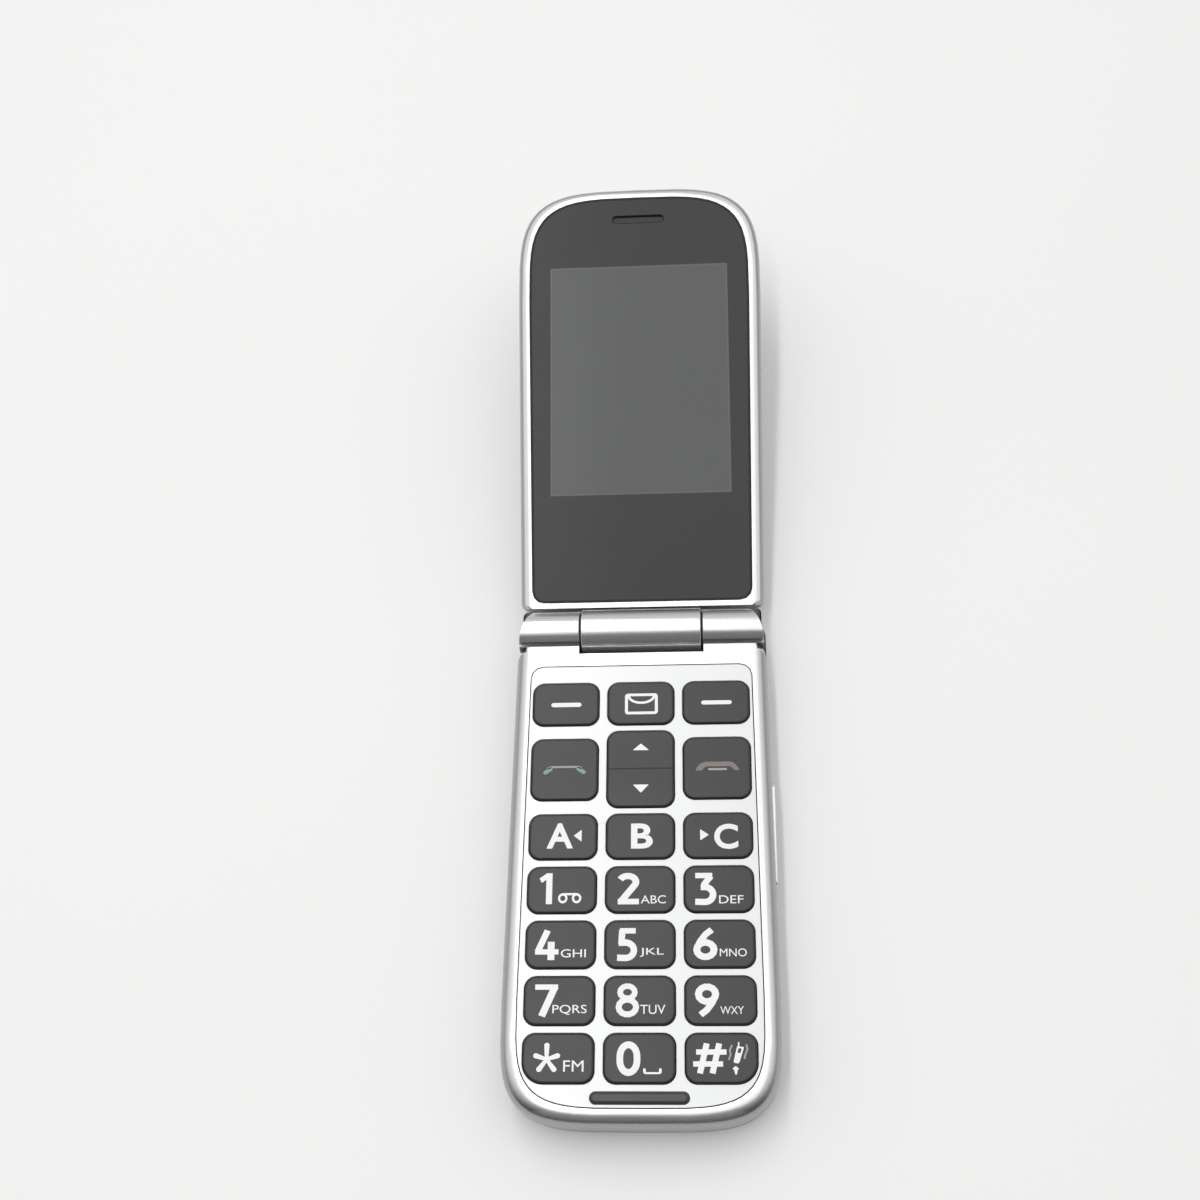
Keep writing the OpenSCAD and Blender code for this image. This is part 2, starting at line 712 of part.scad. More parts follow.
// Side knuckle with a rounded outer end; s is -1 for the left and 1 for the right.
module side_knuckle(s) {
    end_x = barrel_w / 2;
    intersection() {
        at_hinge() axle(barrel_r, s > 0 ? notch_x : -end_x, s > 0 ? end_x : -notch_x);
        translate([s * (end_x - barrel_end_r), hinge_y - barrel_r, 0]) cylinder(r = barrel_end_r, h = 2 * base_t);
    }
}

// Solid under a side knuckle that ties it to the housing.
module knuckle_foot(s) {
    foot_l = barrel_w / 2 - notch_x - foot_short;
    x0 = s > 0 ? notch_x : -notch_x - foot_l;
    translate([x0, cavity_near, split_z])
        cube([foot_l, rear_near - cavity_near, hinge_z - foot_drop - split_z]);
}

module front_housing() {
    color("silver") difference() {
        union() {
            difference() {
                front_skin();
                translate([0, 0, split_z - over]) linear_extrude(plate_z - split_z + over)
                    polygon(base_outline(-wall, cavity_near, cavity_r));
                translate([0, 0, panel_z]) linear_extrude(panel_t + over) polygon(panel_outline(skin_gap));
                translate([0, 0, plate_z - over]) linear_extrude(plate_t + 2 * over) key_openings();
                block(2 * notch_x, notch_near, hinge_y + 2 * barrel_r, split_z - over, base_t + over);
            }
            for (s = [-1, 1]) {
                side_knuckle(s);
                knuckle_foot(s);
            }
            for (p = base_screws_at) translate([p[0], p[1], board_z])
                cylinder(r = boss_r, h = plate_z - board_z + hair);
        }
        for (p = base_screws_at) translate([p[0], p[1], board_z - over])
            cylinder(r = screw_r, h = over + plate_z - board_z + pilot_in);
        at_hinge() {
            axle(bush_r, -notch_x - bush_l, -notch_x + over);
            axle(bush_r, notch_x - over, flex_x + flex_w);
        }
        base_flex_path(flex_gap);
        side_cuts();
    }
}

// Middle of the outer face of the charging socket, and of the headset socket.
function usb_x() = base_hw(socket_y) + base_bulge - usb_face;
function jack_x() = -base_hw(socket_y) - base_bulge + jack_face;

// Holes in the sides of both housings for the sockets and the volume key.
module side_cuts() {
    translate([jack_x() - base_w, socket_y, jack_z]) rotate([0, 90, 0])
        cylinder(r = jack_nose_r, h = base_w + jack_l + jack_end_t);
    translate([usb_x() - usb_d, socket_y, usb_z]) rotate([90, 0, 90]) linear_extrude(base_w)
        rounded(usb_w + 2 * usb_sheet, usb_h + 2 * usb_sheet, usb_h / 2);
    translate([volume_lip_x() - volume_swing, volume_y, volume_z]) rotate([90, 0, 90])
        linear_extrude(base_w)
            rounded(volume_l + 2 * slot_gap, volume_h + 2 * slot_gap, volume_h / 2 + slot_gap - hair);
}

// Rear rings run from the flat back up to the split line.
module rear_skin() {
    angles = [for (i = [0:steps]) 90 * (1 - i / steps)];
    function out(t) = base_bulge - base_back_round * (1 - cos(t));
    loft([for (t = angles) base_outline(out(t), rear_near + out(t) - base_bulge, rear_r)],
         [for (t = angles) split_z * (1 - sin(t))]);
}

module cover_shape(grow) {
    translate([0, (cover_y0 + cover_y1) / 2])
        rounded(cover_w + 2 * grow, cover_y1 - cover_y0 + 2 * grow, cover_r + grow);
}

module speaker_slots() {
    for (i = [-2:2]) translate([i * speaker_slot_pitch, speaker_y])
        rounded(speaker_slot_w, speaker_r, speaker_slot_w / 2 - hair);
}

module sos_hole() {
    translate([0, sos_y]) circle(sos_r + sos_gap);
}

// Rib round the loudspeaker and cradle under the vibration motor.
module inner_ribs() {
    translate([0, speaker_y, rear_floor - hair])
        cylinder(r = speaker_r + seat_gap + speaker_rib_t, h = speaker_rib_h + hair);
    translate([motor_x, 0, 0]) block(2 * (motor_r + cradle_wall), motor_y0 + cradle_short,
                                     motor_y0 + motor_l - cradle_short, rear_floor - hair, motor_z);
}

module inner_rib_cuts() {
    translate([0, speaker_y, rear_floor]) cylinder(r = speaker_r + seat_gap, h = split_z);
    translate([motor_x, motor_y0, motor_z]) rotate([-90, 0, 0]) cylinder(r = motor_r, h = motor_l);
}

module rear_housing() {
    color([0.16, 0.16, 0.17]) difference() {
        union() {
            difference() {
                rear_skin();
                translate([0, 0, rear_floor]) linear_extrude(split_z)
                    polygon(base_outline(-wall, rear_near - wall, cavity_r));
            }
            block(2 * (bay_hw + bay_wall), low_y, bay_y1 + bay_wall, rear_floor - hair, bay_top + bay_roof);
            block(2 * (notch_x + over), cavity_near, rear_near - wall + hair, split_z - over, split_z);
            for (p = base_screws_at) translate([p[0], p[1], rear_floor - hair])
                cylinder(r = rear_boss_r, h = board_z - rear_floor + hair);
            inner_ribs();
        }
        inner_rib_cuts();
        translate([0, 0, -over]) linear_extrude(over + cover_t) cover_shape(cover_gap);
        block(2 * bay_hw, bay_y0, bay_y1, 0, bay_top);
        block(sim_w + 2 * seat_gap, sim_y - seat_gap, sim_y + sim_l + seat_gap, bay_top - hair, base_t);
        block(contacts_w + 2 * seat_gap, bay_y1 - over, bay_y1 + bay_wall + over, bay_z + over, base_t);
        translate([0, 0, -over]) linear_extrude(rear_floor + 2 * over) {
            speaker_slots();
            sos_hole();
        }
        for (p = base_screws_at) translate([p[0], p[1], 0]) {
            cylinder(r = screw_head_r + screw_gap, h = cover_t + screw_sunk + screw_head_t);
            cylinder(r = screw_r + screw_gap, h = base_t);
        }
        side_cuts();
    }
}

// Clipped over the battery and the screws, with two pads that press on the battery.
module battery_cover() {
    color([0.16, 0.16, 0.17]) difference() {
        union() {
            linear_extrude(cover_t) cover_shape(0);
            for (s = [-1, 1]) translate([s * battery_w / 4, 0, 0])
                block(cover_pad[0], battery_y1 - 2 * cover_pad[1], battery_y1 - cover_pad[1],
                      cover_t - hair, bay_z - touch_gap);
        }
        translate([0, 0, -over]) linear_extrude(cover_t + 2 * over) {
            speaker_slots();
            sos_hole();
        }
        translate([0, cover_y0 - over, cover_grip_z]) sphere(cover_grip_r);
    }
}

// Flat-headed screw with a crossed slot, head down, its head's face at z = 0.
module screw(length) {
    difference() {
        union() {
            cylinder(r = screw_head_r, h = screw_head_t);
            cylinder(r = screw_r, h = length);
        }
        for (a = [0, 90]) rotate(a) block(cross_slot[0], -cross_slot[1], cross_slot[1], -over, cross_slot[2]);
    }
}

module base_screws() {
    head_z = cover_t + screw_sunk;
    color("slategray") for (p = base_screws_at) translate([p[0], p[1], head_z])
        screw(plate_z - pilot_in - head_z);
}

// ---- inside the base ----

module battery() {
    color("slategray") translate([0, (battery_y0 + battery_y1) / 2, bay_z])
        linear_extrude(battery_t) rounded(battery_w, battery_y1 - battery_y0, battery_r);
}

module battery_contacts() {
    color("goldenrod") {
        block(contacts_w, bay_y1, bay_y1 + contacts_l, bay_z + contacts_rise, board_z);
        for (i = [-1:1]) translate([i * contact_pitch, 0, 0])
            block(contact_size[0], battery_y1, bay_y1 + hair, bay_z + 2 * contacts_rise,
                  bay_z + 2 * contacts_rise + contact_size[1]);
    }
}

module sim_holder() {
    color("silver") difference() {
        block(sim_w, sim_y, sim_y + sim_l, bay_top, board_z);
        block(sim_w - 2 * sim_wall, sim_y - over, sim_y + sim_l - over,
              bay_top + sim_slot[0], bay_top + sim_slot[1]);
    }
}

module shield_can() {
    color("lightgray") translate([parts_x, speaker_y - can[1] / 2, board_z - can[2]]) difference() {
        cube(can);
        translate([can_sheet, can_sheet, can_sheet])
            cube([can[0] - 2 * can_sheet, can[1] - 2 * can_sheet, can[2]]);
    }
}

module loudspeaker() {
    color("dimgray") translate([0, speaker_y, rear_floor]) cylinder(r = speaker_r, h = speaker_t);
}

module microphone() {
    color("silver") translate([mic_at[0], mic_at[1], board_z - mic_t]) cylinder(r = mic_r, h = mic_t);
}

module vibration_motor() {
    color("silver") translate([motor_x, motor_y0, motor_z]) rotate([-90, 0, 0]) difference() {
        cylinder(r = motor_r, h = motor_l);
        translate([0, 0, -over]) cylinder(r = motor_shaft_r + run_gap, h = over + shaft_in + weight_gap);
    }
}

// Half disc that hangs below its shaft.
module vibration_weight() {
    color("goldenrod") translate([motor_x, motor_y0, motor_z]) rotate([90, 0, 0]) {
        translate([0, 0, -shaft_in]) cylinder(r = motor_shaft_r, h = shaft_in + weight_gap + weight_l);
        translate([0, 0, weight_gap]) linear_extrude(weight_l) intersection() {
            circle(weight_r);
            translate([-weight_r, -2 * weight_r]) square([2 * weight_r, 2 * weight_r]);
        }
    }
}

// Carrier that fills the lower left corner, with a leg up to the main board.
module antenna() {
    color("darkkhaki") {
        translate([0, 0, rear_floor]) linear_extrude(antenna_t) intersection() {
            polygon(inside_outline(board_margin));
            translate([antenna_x - base_w, base_end]) square([base_w, antenna_y - base_end]);
        }
        translate([parts_x - slot_gap - antenna_leg[0], antenna_y - antenna_leg[1], rear_floor])
            cube([antenna_leg[0], antenna_leg[1], board_z - rear_floor]);
    }
}

module charging_socket() {
    color("silver") translate([usb_x() - usb_d, socket_y, usb_z]) rotate([90, 0, 90]) difference() {
        linear_extrude(usb_d) rounded(usb_w + 2 * usb_sheet, usb_h + 2 * usb_sheet, usb_h / 2);
        translate([0, 0, usb_sheet]) linear_extrude(usb_d) difference() {
            rounded(usb_w, usb_h, usb_h / 2 - slot_gap);
            square([usb_tongue_w, usb_tongue_t], center = true);
        }
    }
}

module headset_socket() {
    color("dimgray") translate([jack_x(), socket_y, jack_z]) rotate([0, 90, 0]) difference() {
        cylinder(r = jack_nose_r, h = jack_l + jack_end_t);
        translate([0, 0, -over]) cylinder(r = jack_r, h = over + jack_l);
    }
}

// ---- controls ----

// Outer side of the lip that keeps the volume key in, clear of the wall over its whole tilt.
function volume_lip_x() = base_hw(volume_y + volume_l / 2 + volume_lip) - wall - volume_swing - lip_gap;

module volume_key() {
    inner = volume_lip_x() - volume_lip_t;
    outer = base_hw(volume_y) + base_bulge + volume_proud;
    color("white") translate([0, volume_y, volume_z]) rotate([90, 0, 90]) {
        translate([0, 0, inner]) linear_extrude(outer - inner)
            rounded(volume_l, volume_h, volume_h / 2 - hair);
        translate([0, 0, inner]) linear_extrude(volume_lip_t)
            rounded(volume_l + 2 * volume_lip, volume_h + volume_lip, volume_h / 2);
    }
}

module sos_button() {
    lip_z0 = rear_floor + lip_gap;
    color("firebrick") translate([0, sos_y, 0]) {
        translate([0, 0, sos_sunk]) cylinder(r = sos_r, h = lip_z0 + sos_lip_t - sos_sunk);
        translate([0, 0, lip_z0]) cylinder(r = sos_r + sos_lip, h = sos_lip_t);
        translate([0, 0, sos_sunk])
            cylinder(r = sos_stem_r, h = switch_z - touch_gap - sos_travel - sos_sunk);
    }
}

// ---- hinge ----

// Keyed in the base's left knuckle, turning in the cartridge.
module hinge_shaft() {
    color("lightsteelblue") at_hinge() {
        axle(bush_r, -notch_x - bush_l, -notch_x);
        axle(shaft_r, -notch_x - hair, -knuckle_w / 2 + cartridge_l - shaft_end - weight_gap);
    }
}

module hinge_bush() {
    color("gainsboro") at_hinge() difference() {
        axle(bush_r, knuckle_w / 2 - bush_l, notch_x + bush_l);
        axle(bush_bore_r, 0, barrel_w);
    }
}

module hinge_cartridge() {
    x0 = -knuckle_w / 2;
    color("lightsteelblue") in_lid() difference() {
        axle(cartridge_r, x0, x0 + cartridge_l);
        axle(shaft_r + run_gap, x0 - over, x0 + cartridge_l - shaft_end);
        axle(spring_room_r, x0 + cartridge_mouth, x0 + cartridge_l - cartridge_end);
    }
}

// Compression spring around the shaft, skinned ring by ring along its helix.
module hinge_spring() {
    count = spring_turns * coil_steps;
    room = cartridge_l - cartridge_end - cartridge_mouth - spring_wire;
    mean_r = (spring_room_r + shaft_r + run_gap) / 2;
    wire_r = min(spring_wire / 2, (spring_room_r - shaft_r) / 2 - spring_gap);
    x0 = -knuckle_w / 2 + cartridge_mouth + spring_wire / 2;
    points = [for (i = [0:count], j = [0:coil_sides - 1])
              let (a = 360 * i / coil_steps, b = 360 * j / coil_sides, rr = mean_r + wire_r * cos(b))
              [x0 + room * i / count + wire_r * sin(b), rr * cos(a), rr * sin(a)]];
    cap0 = [[for (j = [0:coil_sides - 1]) j]];
    cap1 = [[for (j = [coil_sides - 1:-1:0]) count * coil_sides + j]];
    skin = [for (i = [0:count - 1], j = [0:coil_sides - 1])
            let (j2 = (j + 1) % coil_sides, a = i * coil_sides, b = a + coil_sides)
            each [[a + j, b + j, b + j2], [a + j, b + j2, a + j2]]];
    color("silver") in_lid() polyhedron(points, concat(cap0, cap1, skin), convexity = 10);
}

// Rolled flex in the bush, and its tail down to the main board.
module base_flex() {
    color("orange") {
        at_hinge() difference() {
            axle(flex_r, flex_mid, flex_x + flex_w);
            axle(flex_r - flex_t, 0, barrel_w);
        }
        base_flex_path(0);
    }
}

module base_flex_path(grow) {
    board_top = board_z + board_t;
    tail_z = hinge_z - flex_r;
    tail_y = cavity_near - flex_drop;
    translate([flex_x + flex_w / 2, 0, 0]) {
        block(flex_w + 2 * grow, tail_y - grow, hinge_y + grow, tail_z - grow, tail_z + flex_t + grow);
        block(flex_w + 2 * grow, tail_y - grow, tail_y + flex_t + grow, board_top, tail_z + flex_t + grow);
        block(flex_w + 2 * grow, tail_y - flex_foot, tail_y + hair, board_top, board_top + flex_t);
    }
}

// Flex from inside the knuckle to the lid's board.
module lid_flex() {
    color("orange") in_lid() {
        difference() {
            axle(flex_r, flex_mid - flex_w, flex_mid - flex_t);
            axle(flex_r - flex_t, 0, barrel_w);
        }
        lid_flex_path(0);
    }
}

module lid_flex_path(grow) {
    w = flex_w - flex_t + 2 * grow;
    translate([flex_mid - (flex_w + flex_t) / 2, 0, 0]) {
        block(w, -flex_t / 2 - grow, flex_t / 2 + grow, lid_flex_top - grow, -flex_r + flex_t);
        block(w, -flex_t / 2 - grow, lid_flex_v + grow,
              lid_flex_top - grow, lid_flex_top + flex_t + grow);
        block(w, lid_flex_v - flex_t - grow, lid_flex_v + grow,
              lid_flex_low - grow, lid_flex_top + flex_t + grow);
        block(w, lid_flex_v - flex_t - grow, lid_board_v, lid_flex_low - grow, lid_flex_low + flex_t + grow);
    }
}

// ---- lid ----

module lid_frame_skin() {
    angles = [for (i = [0:steps]) 90 * i / steps];
    function out(t) = lid_bulge - lid_edge_r * (1 - cos(t));
    loft(concat([lid_outline(lid_bulge, lid_near, lid_face_r + lid_side_r)],
                [for (t = angles) lid_outline(out(t), lid_near, lid_face_r + lid_side_r * cos(t))]),
         concat([lid_split], [for (t = angles) lid_face - lid_edge_r * (1 - sin(t))]));
}

module lid_rear_skin() {
    angles = [for (i = [0:steps]) 90 * (1 - i / steps)];
    depth = lid_t - lid_frame_t;
    function out(t) = lid_bulge - lid_back_round * (1 - cos(t));
    loft([for (t = angles) lid_outline(out(t), lid_near + (1 - cos(t)) * lid_near_round, lid_rear_r)],
         [for (t = angles) lid_split - depth * sin(t)]);
}

function window_outline(grow) = lid_outline(grow - window_inset, window_near - grow, panel_r + grow);
function lid_cavity() = lid_outline(-lid_wall, lid_near + lid_wall, cavity_r);

module lid_front_frame() {
    plate_bottom = glass_top - lid_plate_t;
    color("silver") in_lid() difference() {
        union() {
            difference() {
                lid_frame_skin();
                translate([0, 0, lid_split - over]) linear_extrude(plate_bottom - lid_split + over)
                    polygon(lid_cavity());
            }
            axle(knuckle_r, -knuckle_w / 2, knuckle_w / 2);
            block(knuckle_w, 0, lid_near + lid_wall, -knuckle_r, lid_face - knuckle_groove);
            for (p = lid_screws_at) translate([p[0], p[1], lid_split])
                cylinder(r = lid_boss_r, h = plate_bottom - lid_split + hair);
        }
        translate([0, 0, glass_top]) linear_extrude(2 * window_t) polygon(window_outline(skin_gap));
        block(glass_w + 2 * seat_gap, glass_start - seat_gap, glass_start + glass_l + seat_gap,
              lid_split - over, 0);
        block(earpiece_body[0] + 2 * seat_gap, earpiece_v - earpiece_body[1] / 2 - seat_gap,
              earpiece_v + earpiece_body[1] / 2 + seat_gap, lid_split - over, 0);
        for (p = lid_screws_at) translate([p[0], p[1], 0]) {
            translate([0, 0, glass_top - screw_head_t]) cylinder(r = screw_head_r + screw_gap, h = over);
            translate([0, 0, lid_split - over]) cylinder(r = screw_r + screw_gap, h = over + lid_frame_t);
        }
        axle(cartridge_r, -knuckle_w, -knuckle_w / 2 + cartridge_l);
        axle(bush_r + run_gap, 0, knuckle_w);
        lid_flex_path(flex_gap);
    }
}

module lid_rear_cover() {
    color([0.14, 0.14, 0.15]) in_lid() difference() {
        union() {
            difference() {
                lid_rear_skin();
                translate([0, 0, lid_floor]) linear_extrude(lid_t) polygon(lid_cavity());
            }
            for (p = lid_screws_at) translate([p[0], p[1], lid_floor - hair])
                cylinder(r = lid_boss_r, h = lid_split - lid_floor + hair);
        }
        for (p = lid_screws_at) translate([p[0], p[1], lid_floor]) cylinder(r = screw_r, h = lid_t);
        translate([0, camera_v, lid_back - over]) cylinder(r = camera_r, h = over + camera_window_t);
        translate([0, camera_v, lid_back]) cylinder(r = camera_barrel_r, h = lid_t);
    }
}

module lid_window() {
    color([0.1, 0.1, 0.11]) in_lid() translate([0, 0, glass_top]) linear_extrude(window_t) difference() {
        polygon(window_outline(0));
        translate([0, earpiece_v]) rounded(earpiece_w, earpiece_l, earpiece_l / 2 - hair);
    }
}

module lcd_glass() {
    color([0.35, 0.36, 0.36]) in_lid()
        block(glass_w, glass_start, glass_start + glass_l, glass_top - glass_t, glass_top);
}

module lcd_backlight() {
    color("whitesmoke") in_lid()
        block(glass_w, glass_start, glass_start + glass_l, glass_back, glass_top - glass_t);
}

// Receiver with a mesh-covered lip in the window's slot.
module earpiece() {
    color([0.08, 0.08, 0.08]) in_lid() {
        block(earpiece_body[0], earpiece_v - earpiece_body[1] / 2, earpiece_v + earpiece_body[1] / 2,
              glass_top - earpiece_body[2], glass_top);
        translate([0, earpiece_v, glass_top - hair]) linear_extrude(window_t / 2)
            rounded(earpiece_w, earpiece_l, earpiece_l / 2 - hair);
    }
}

module camera_module() {
    top = min(glass_back - touch_gap, lid_floor + camera_t);
    color("dimgray") in_lid() {
        block(camera_w, camera_v - camera_w / 2, camera_v + camera_w / 2, lid_floor, top);
        translate([0, camera_v, lid_back + camera_window_t])
            cylinder(r = camera_barrel_r, h = lid_wall - camera_window_t + hair);
    }
}

module camera_window() {
    color([0.1, 0.12, 0.16]) in_lid() translate([0, camera_v, lid_back])
        cylinder(r = camera_r, h = camera_window_t);
}

module lid_board() {
    color("darkgreen") in_lid()
        block(2 * lid_board_hw, lid_board_v, camera_v - camera_w / 2 - lid_board_gap,
              glass_back - board_t, glass_back);
}

module lid_magnet() {
    color("lightslategray") in_lid() translate([magnet_at[0], magnet_at[1], lid_floor])
        cylinder(r = magnet_r, h = magnet_t);
}

module lid_screws() {
    color("slategray") in_lid() for (p = lid_screws_at) translate([p[0], p[1], glass_top])
        mirror([0, 0, 1]) screw(glass_top - lid_floor);
}

front_housing();
keypad_panel();
keypad_mat();
dome_sheet();
main_board();
shield_can();
battery();
battery_contacts();
sim_holder();
rear_housing();
battery_cover();
loudspeaker();
microphone();
vibration_motor();
vibration_weight();
antenna();
charging_socket();
headset_socket();
rubber_bumper();
hinge_shaft();
hinge_bush();
base_flex();
base_screws();
key(-1, 0);  // key_soft_left
key(0, 0);  // key_message
key(1, 0);  // key_soft_right
key(-1, 1);  // key_call
key_navigation();
key(1, 1);  // key_end
key(-1, 2);  // key_a
key(0, 2);  // key_b
key(1, 2);  // key_c
key(-1, 3);  // key_1
key(0, 3);  // key_2
key(1, 3);  // key_3
key(-1, 4);  // key_4
key(0, 4);  // key_5
key(1, 4);  // key_6
key(-1, 5);  // key_7
key(0, 5);  // key_8
key(1, 5);  // key_9
key(-1, 6);  // key_star
key(0, 6);  // key_0
key(1, 6);  // key_hash
volume_key();
sos_button();
lid_front_frame();
lid_rear_cover();
lid_window();
lcd_glass();
lcd_backlight();
earpiece();
camera_module();
camera_window();
lid_board();
lid_magnet();
lid_screws();
hinge_cartridge();
hinge_spring();
lid_flex();
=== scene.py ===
import json
import math

import bmesh
import bpy
from mathutils import Matrix, Vector

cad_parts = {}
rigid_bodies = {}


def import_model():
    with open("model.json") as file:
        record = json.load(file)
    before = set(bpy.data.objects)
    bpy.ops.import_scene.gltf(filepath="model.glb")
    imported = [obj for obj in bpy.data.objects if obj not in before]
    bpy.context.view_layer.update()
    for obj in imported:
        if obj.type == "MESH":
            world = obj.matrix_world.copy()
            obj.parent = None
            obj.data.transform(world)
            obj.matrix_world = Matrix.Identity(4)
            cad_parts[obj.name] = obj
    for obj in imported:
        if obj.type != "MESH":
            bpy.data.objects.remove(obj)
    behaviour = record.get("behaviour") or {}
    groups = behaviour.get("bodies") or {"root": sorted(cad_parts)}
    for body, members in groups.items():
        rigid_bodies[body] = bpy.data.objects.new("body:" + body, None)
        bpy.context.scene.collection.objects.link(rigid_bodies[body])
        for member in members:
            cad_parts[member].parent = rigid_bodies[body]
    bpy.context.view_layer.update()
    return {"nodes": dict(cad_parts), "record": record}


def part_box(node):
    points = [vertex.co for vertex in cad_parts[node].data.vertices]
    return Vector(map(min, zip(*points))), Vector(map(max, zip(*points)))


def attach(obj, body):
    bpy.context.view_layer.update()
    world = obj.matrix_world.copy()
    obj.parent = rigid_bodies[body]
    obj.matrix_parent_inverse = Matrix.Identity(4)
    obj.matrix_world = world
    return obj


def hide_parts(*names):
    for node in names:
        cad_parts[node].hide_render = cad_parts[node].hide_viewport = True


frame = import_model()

nodes = frame["nodes"]
mm, inMm = 0.001, 1000                          # a mm in metres, and metres turned into mm
print("frame loaded:", len(nodes), "nodes")

camera = {
    "lens": 51.81, "sensor": 36, "nearClip": 0.01,
    "place": (18.00, -92.68, 329.6),            # in mm
    "turn": (24.914, 4.395, 0.773),             # in degrees
}
bpy.ops.object.camera_add(
    location=[v * mm for v in camera["place"]],
    rotation=[math.radians(a) for a in camera["turn"]])
bpy.context.object.data.lens = camera["lens"]
bpy.context.object.data.sensor_width = camera["sensor"]
bpy.context.object.data.clip_start = camera["nearClip"]
bpy.context.scene.camera = bpy.context.object

studio = {
    "floorSide": 6.0,
    "floorDrop": 0.05,                          # mm under the back
    "floorTone": (0.955, 0.97, 0.955), "floorDark": 0.99, "floorPale": 1.01, "floorCloud": 90.0,
    "floorRough": 0.9, "floorShine": 0.2,
    "skyTone": (1.0, 1.0, 0.995),
    "sky": 0.34, "skyRise": 0.36, "sideGain": 0.6,  # at the horizon, added overhead, added at the sides
    "frontReach": 1.6, "frontDim": 0.86,        # the dim side that the hinge and the lower end look at
    "horizon": 0.90,                            # what is seen behind the floor
    "glow": 0.90, "glowShare": 0.18,            # keeps the floor pale close to the phone
    "glowStart": 0.45, "glowEnd": 1.5,          # and brings it to the horizon's tone further off, in m
}
lamps = {
    # name: place, width, depth, watts
    "soft_box": ((0.02, 0.11, 0.80), 0.88, 0.88, 1.1),
    "strip": ((-0.12, 0.20, 0.80), 0.05, 1.00, 2.25),
}
bpy.ops.mesh.primitive_plane_add(size=studio["floorSide"],
                                 location=(0, 0, -studio["floorDrop"] * mm))
floor = bpy.context.object
floor.name = "studio_floor"

for name, (lampPlace, width, depth, watts) in lamps.items():
    bpy.ops.object.light_add(type="AREA", location=lampPlace)
    lamp = bpy.context.object
    lamp.name = name
    lamp.data.shape = "RECTANGLE"
    lamp.data.size, lamp.data.size_y, lamp.data.energy = width, depth, watts

bpy.context.scene.view_settings.view_transform = "Standard"


class Wire:                                     # a node socket that can be used in sums
    def __init__(self, tree, socket):
        self.tree, self.socket = tree, socket

    def node(self, kind, settings, inputs, out=0):
        made = self.tree.nodes.new(kind)
        for name, value in settings.items():
            setattr(made, name, value)
        for name, value in inputs.items():
            if isinstance(value, Wire):
                self.tree.links.new(value.socket, made.inputs[name])
            else:
                made.inputs[name].default_value = value
        return Wire(self.tree, made.outputs[out])

    def maths(self, operation, *others, flip=False):
        terms = (*others, self) if flip else (self, *others)
        return self.node("ShaderNodeMath", {"operation": operation}, dict(enumerate(terms)))

    def __add__(self, other):
        return self.maths("ADD", other)

    def __sub__(self, other):
        return self.maths("SUBTRACT", other)

    def __rsub__(self, other):
        return self.maths("SUBTRACT", other, flip=True)

    def __mul__(self, other):
        return self.maths("MULTIPLY", other)

    __radd__, __rmul__ = __add__, __mul__

    def clamped(self):
        return self.node("ShaderNodeClamp", {}, {"Value": self})

    def centred(self):                          # a sum about 0 as a share from 0 to 1
        return (self + 0.5).clamped()

    def noise(self, grain, detail=2.0):         # noise about 0, grain is the size of a speck in mm
        return self.node("ShaderNodeTexNoise", {},
                         {"Vector": self, "Scale": 1 / (grain * mm), "Detail": detail}) - 0.5

    def mix(self, first, second):               # two colours or wires, self is the share of the second
        sides = [side if isinstance(side, Wire) else (*side, 1) for side in (first, second)]
        return self.node("ShaderNodeMix", {"data_type": "RGBA"}, {0: self, 6: sides[0], 7: sides[1]}, 2)

    def shades(self, colour, dark, pale):       # a colour from darker to paler
        return self.mix(shade(colour, dark), shade(colour, pale))

    def axis(self, index):
        return self.node("ShaderNodeSeparateXYZ", {}, {"Vector": self}, index)

    def bump(self, depth):                      # depth in mm of a height of 1
        return self.node("ShaderNodeBump", {}, {"Height": self, "Distance": depth * mm, "Strength": 1.0})


def material(name, fixed, varied=None):
    made = bpy.data.materials.new(name)
    made.use_nodes = True
    tree = made.node_tree
    shader = tree.nodes["Principled BSDF"]
    for socket, value in fixed.items():
        shader.inputs[socket].default_value = value
    if varied:
        place = Wire(tree, tree.nodes.new("ShaderNodeTexCoord").outputs["Object"])
        for socket, wire in varied(place).items():
            tree.links.new(wire.socket, shader.inputs[socket])
    return made


def shade(tone, factor):
    return tuple(min(1.0, c * factor) for c in tone)


mould = {"cloud": 14.0, "cloudGain": 0.9, "speckGain": 0.5, "dark": 0.94, "pale": 1.06,
         "speckRough": 0.12, "cloudRough": 0.06}


def mouldedFace(place, tone, rough, grain, depth):       # plastic with a fine moulded grain
    speck = place.noise(grain)
    cloud = place.noise(mould["cloud"], 1.0)
    face = (cloud * mould["cloudGain"] + speck * mould["speckGain"]).centred()
    return {"Base Color": face.shades(tone, mould["dark"], mould["pale"]),
            "Roughness": speck * mould["speckRough"] + cloud * mould["cloudRough"] + rough,
            "Normal": speck.bump(depth)}


def moulded(name, tone, rough, grain, depth, shine=0.5):
    return material(name, {"Specular IOR Level": shine},
                    lambda place: mouldedFace(place, tone, rough, grain, depth))


lacquer = {"cloud": 18.0, "cloudGain": 0.8, "flakeGain": 0.7, "dark": 0.95, "pale": 1.04,
           "flakeRough": 0.10, "cloudRough": 0.04, "flakeMetal": 0.20, "deep": 0.002,
           "coatRough": 0.12, "coatIor": 1.45}


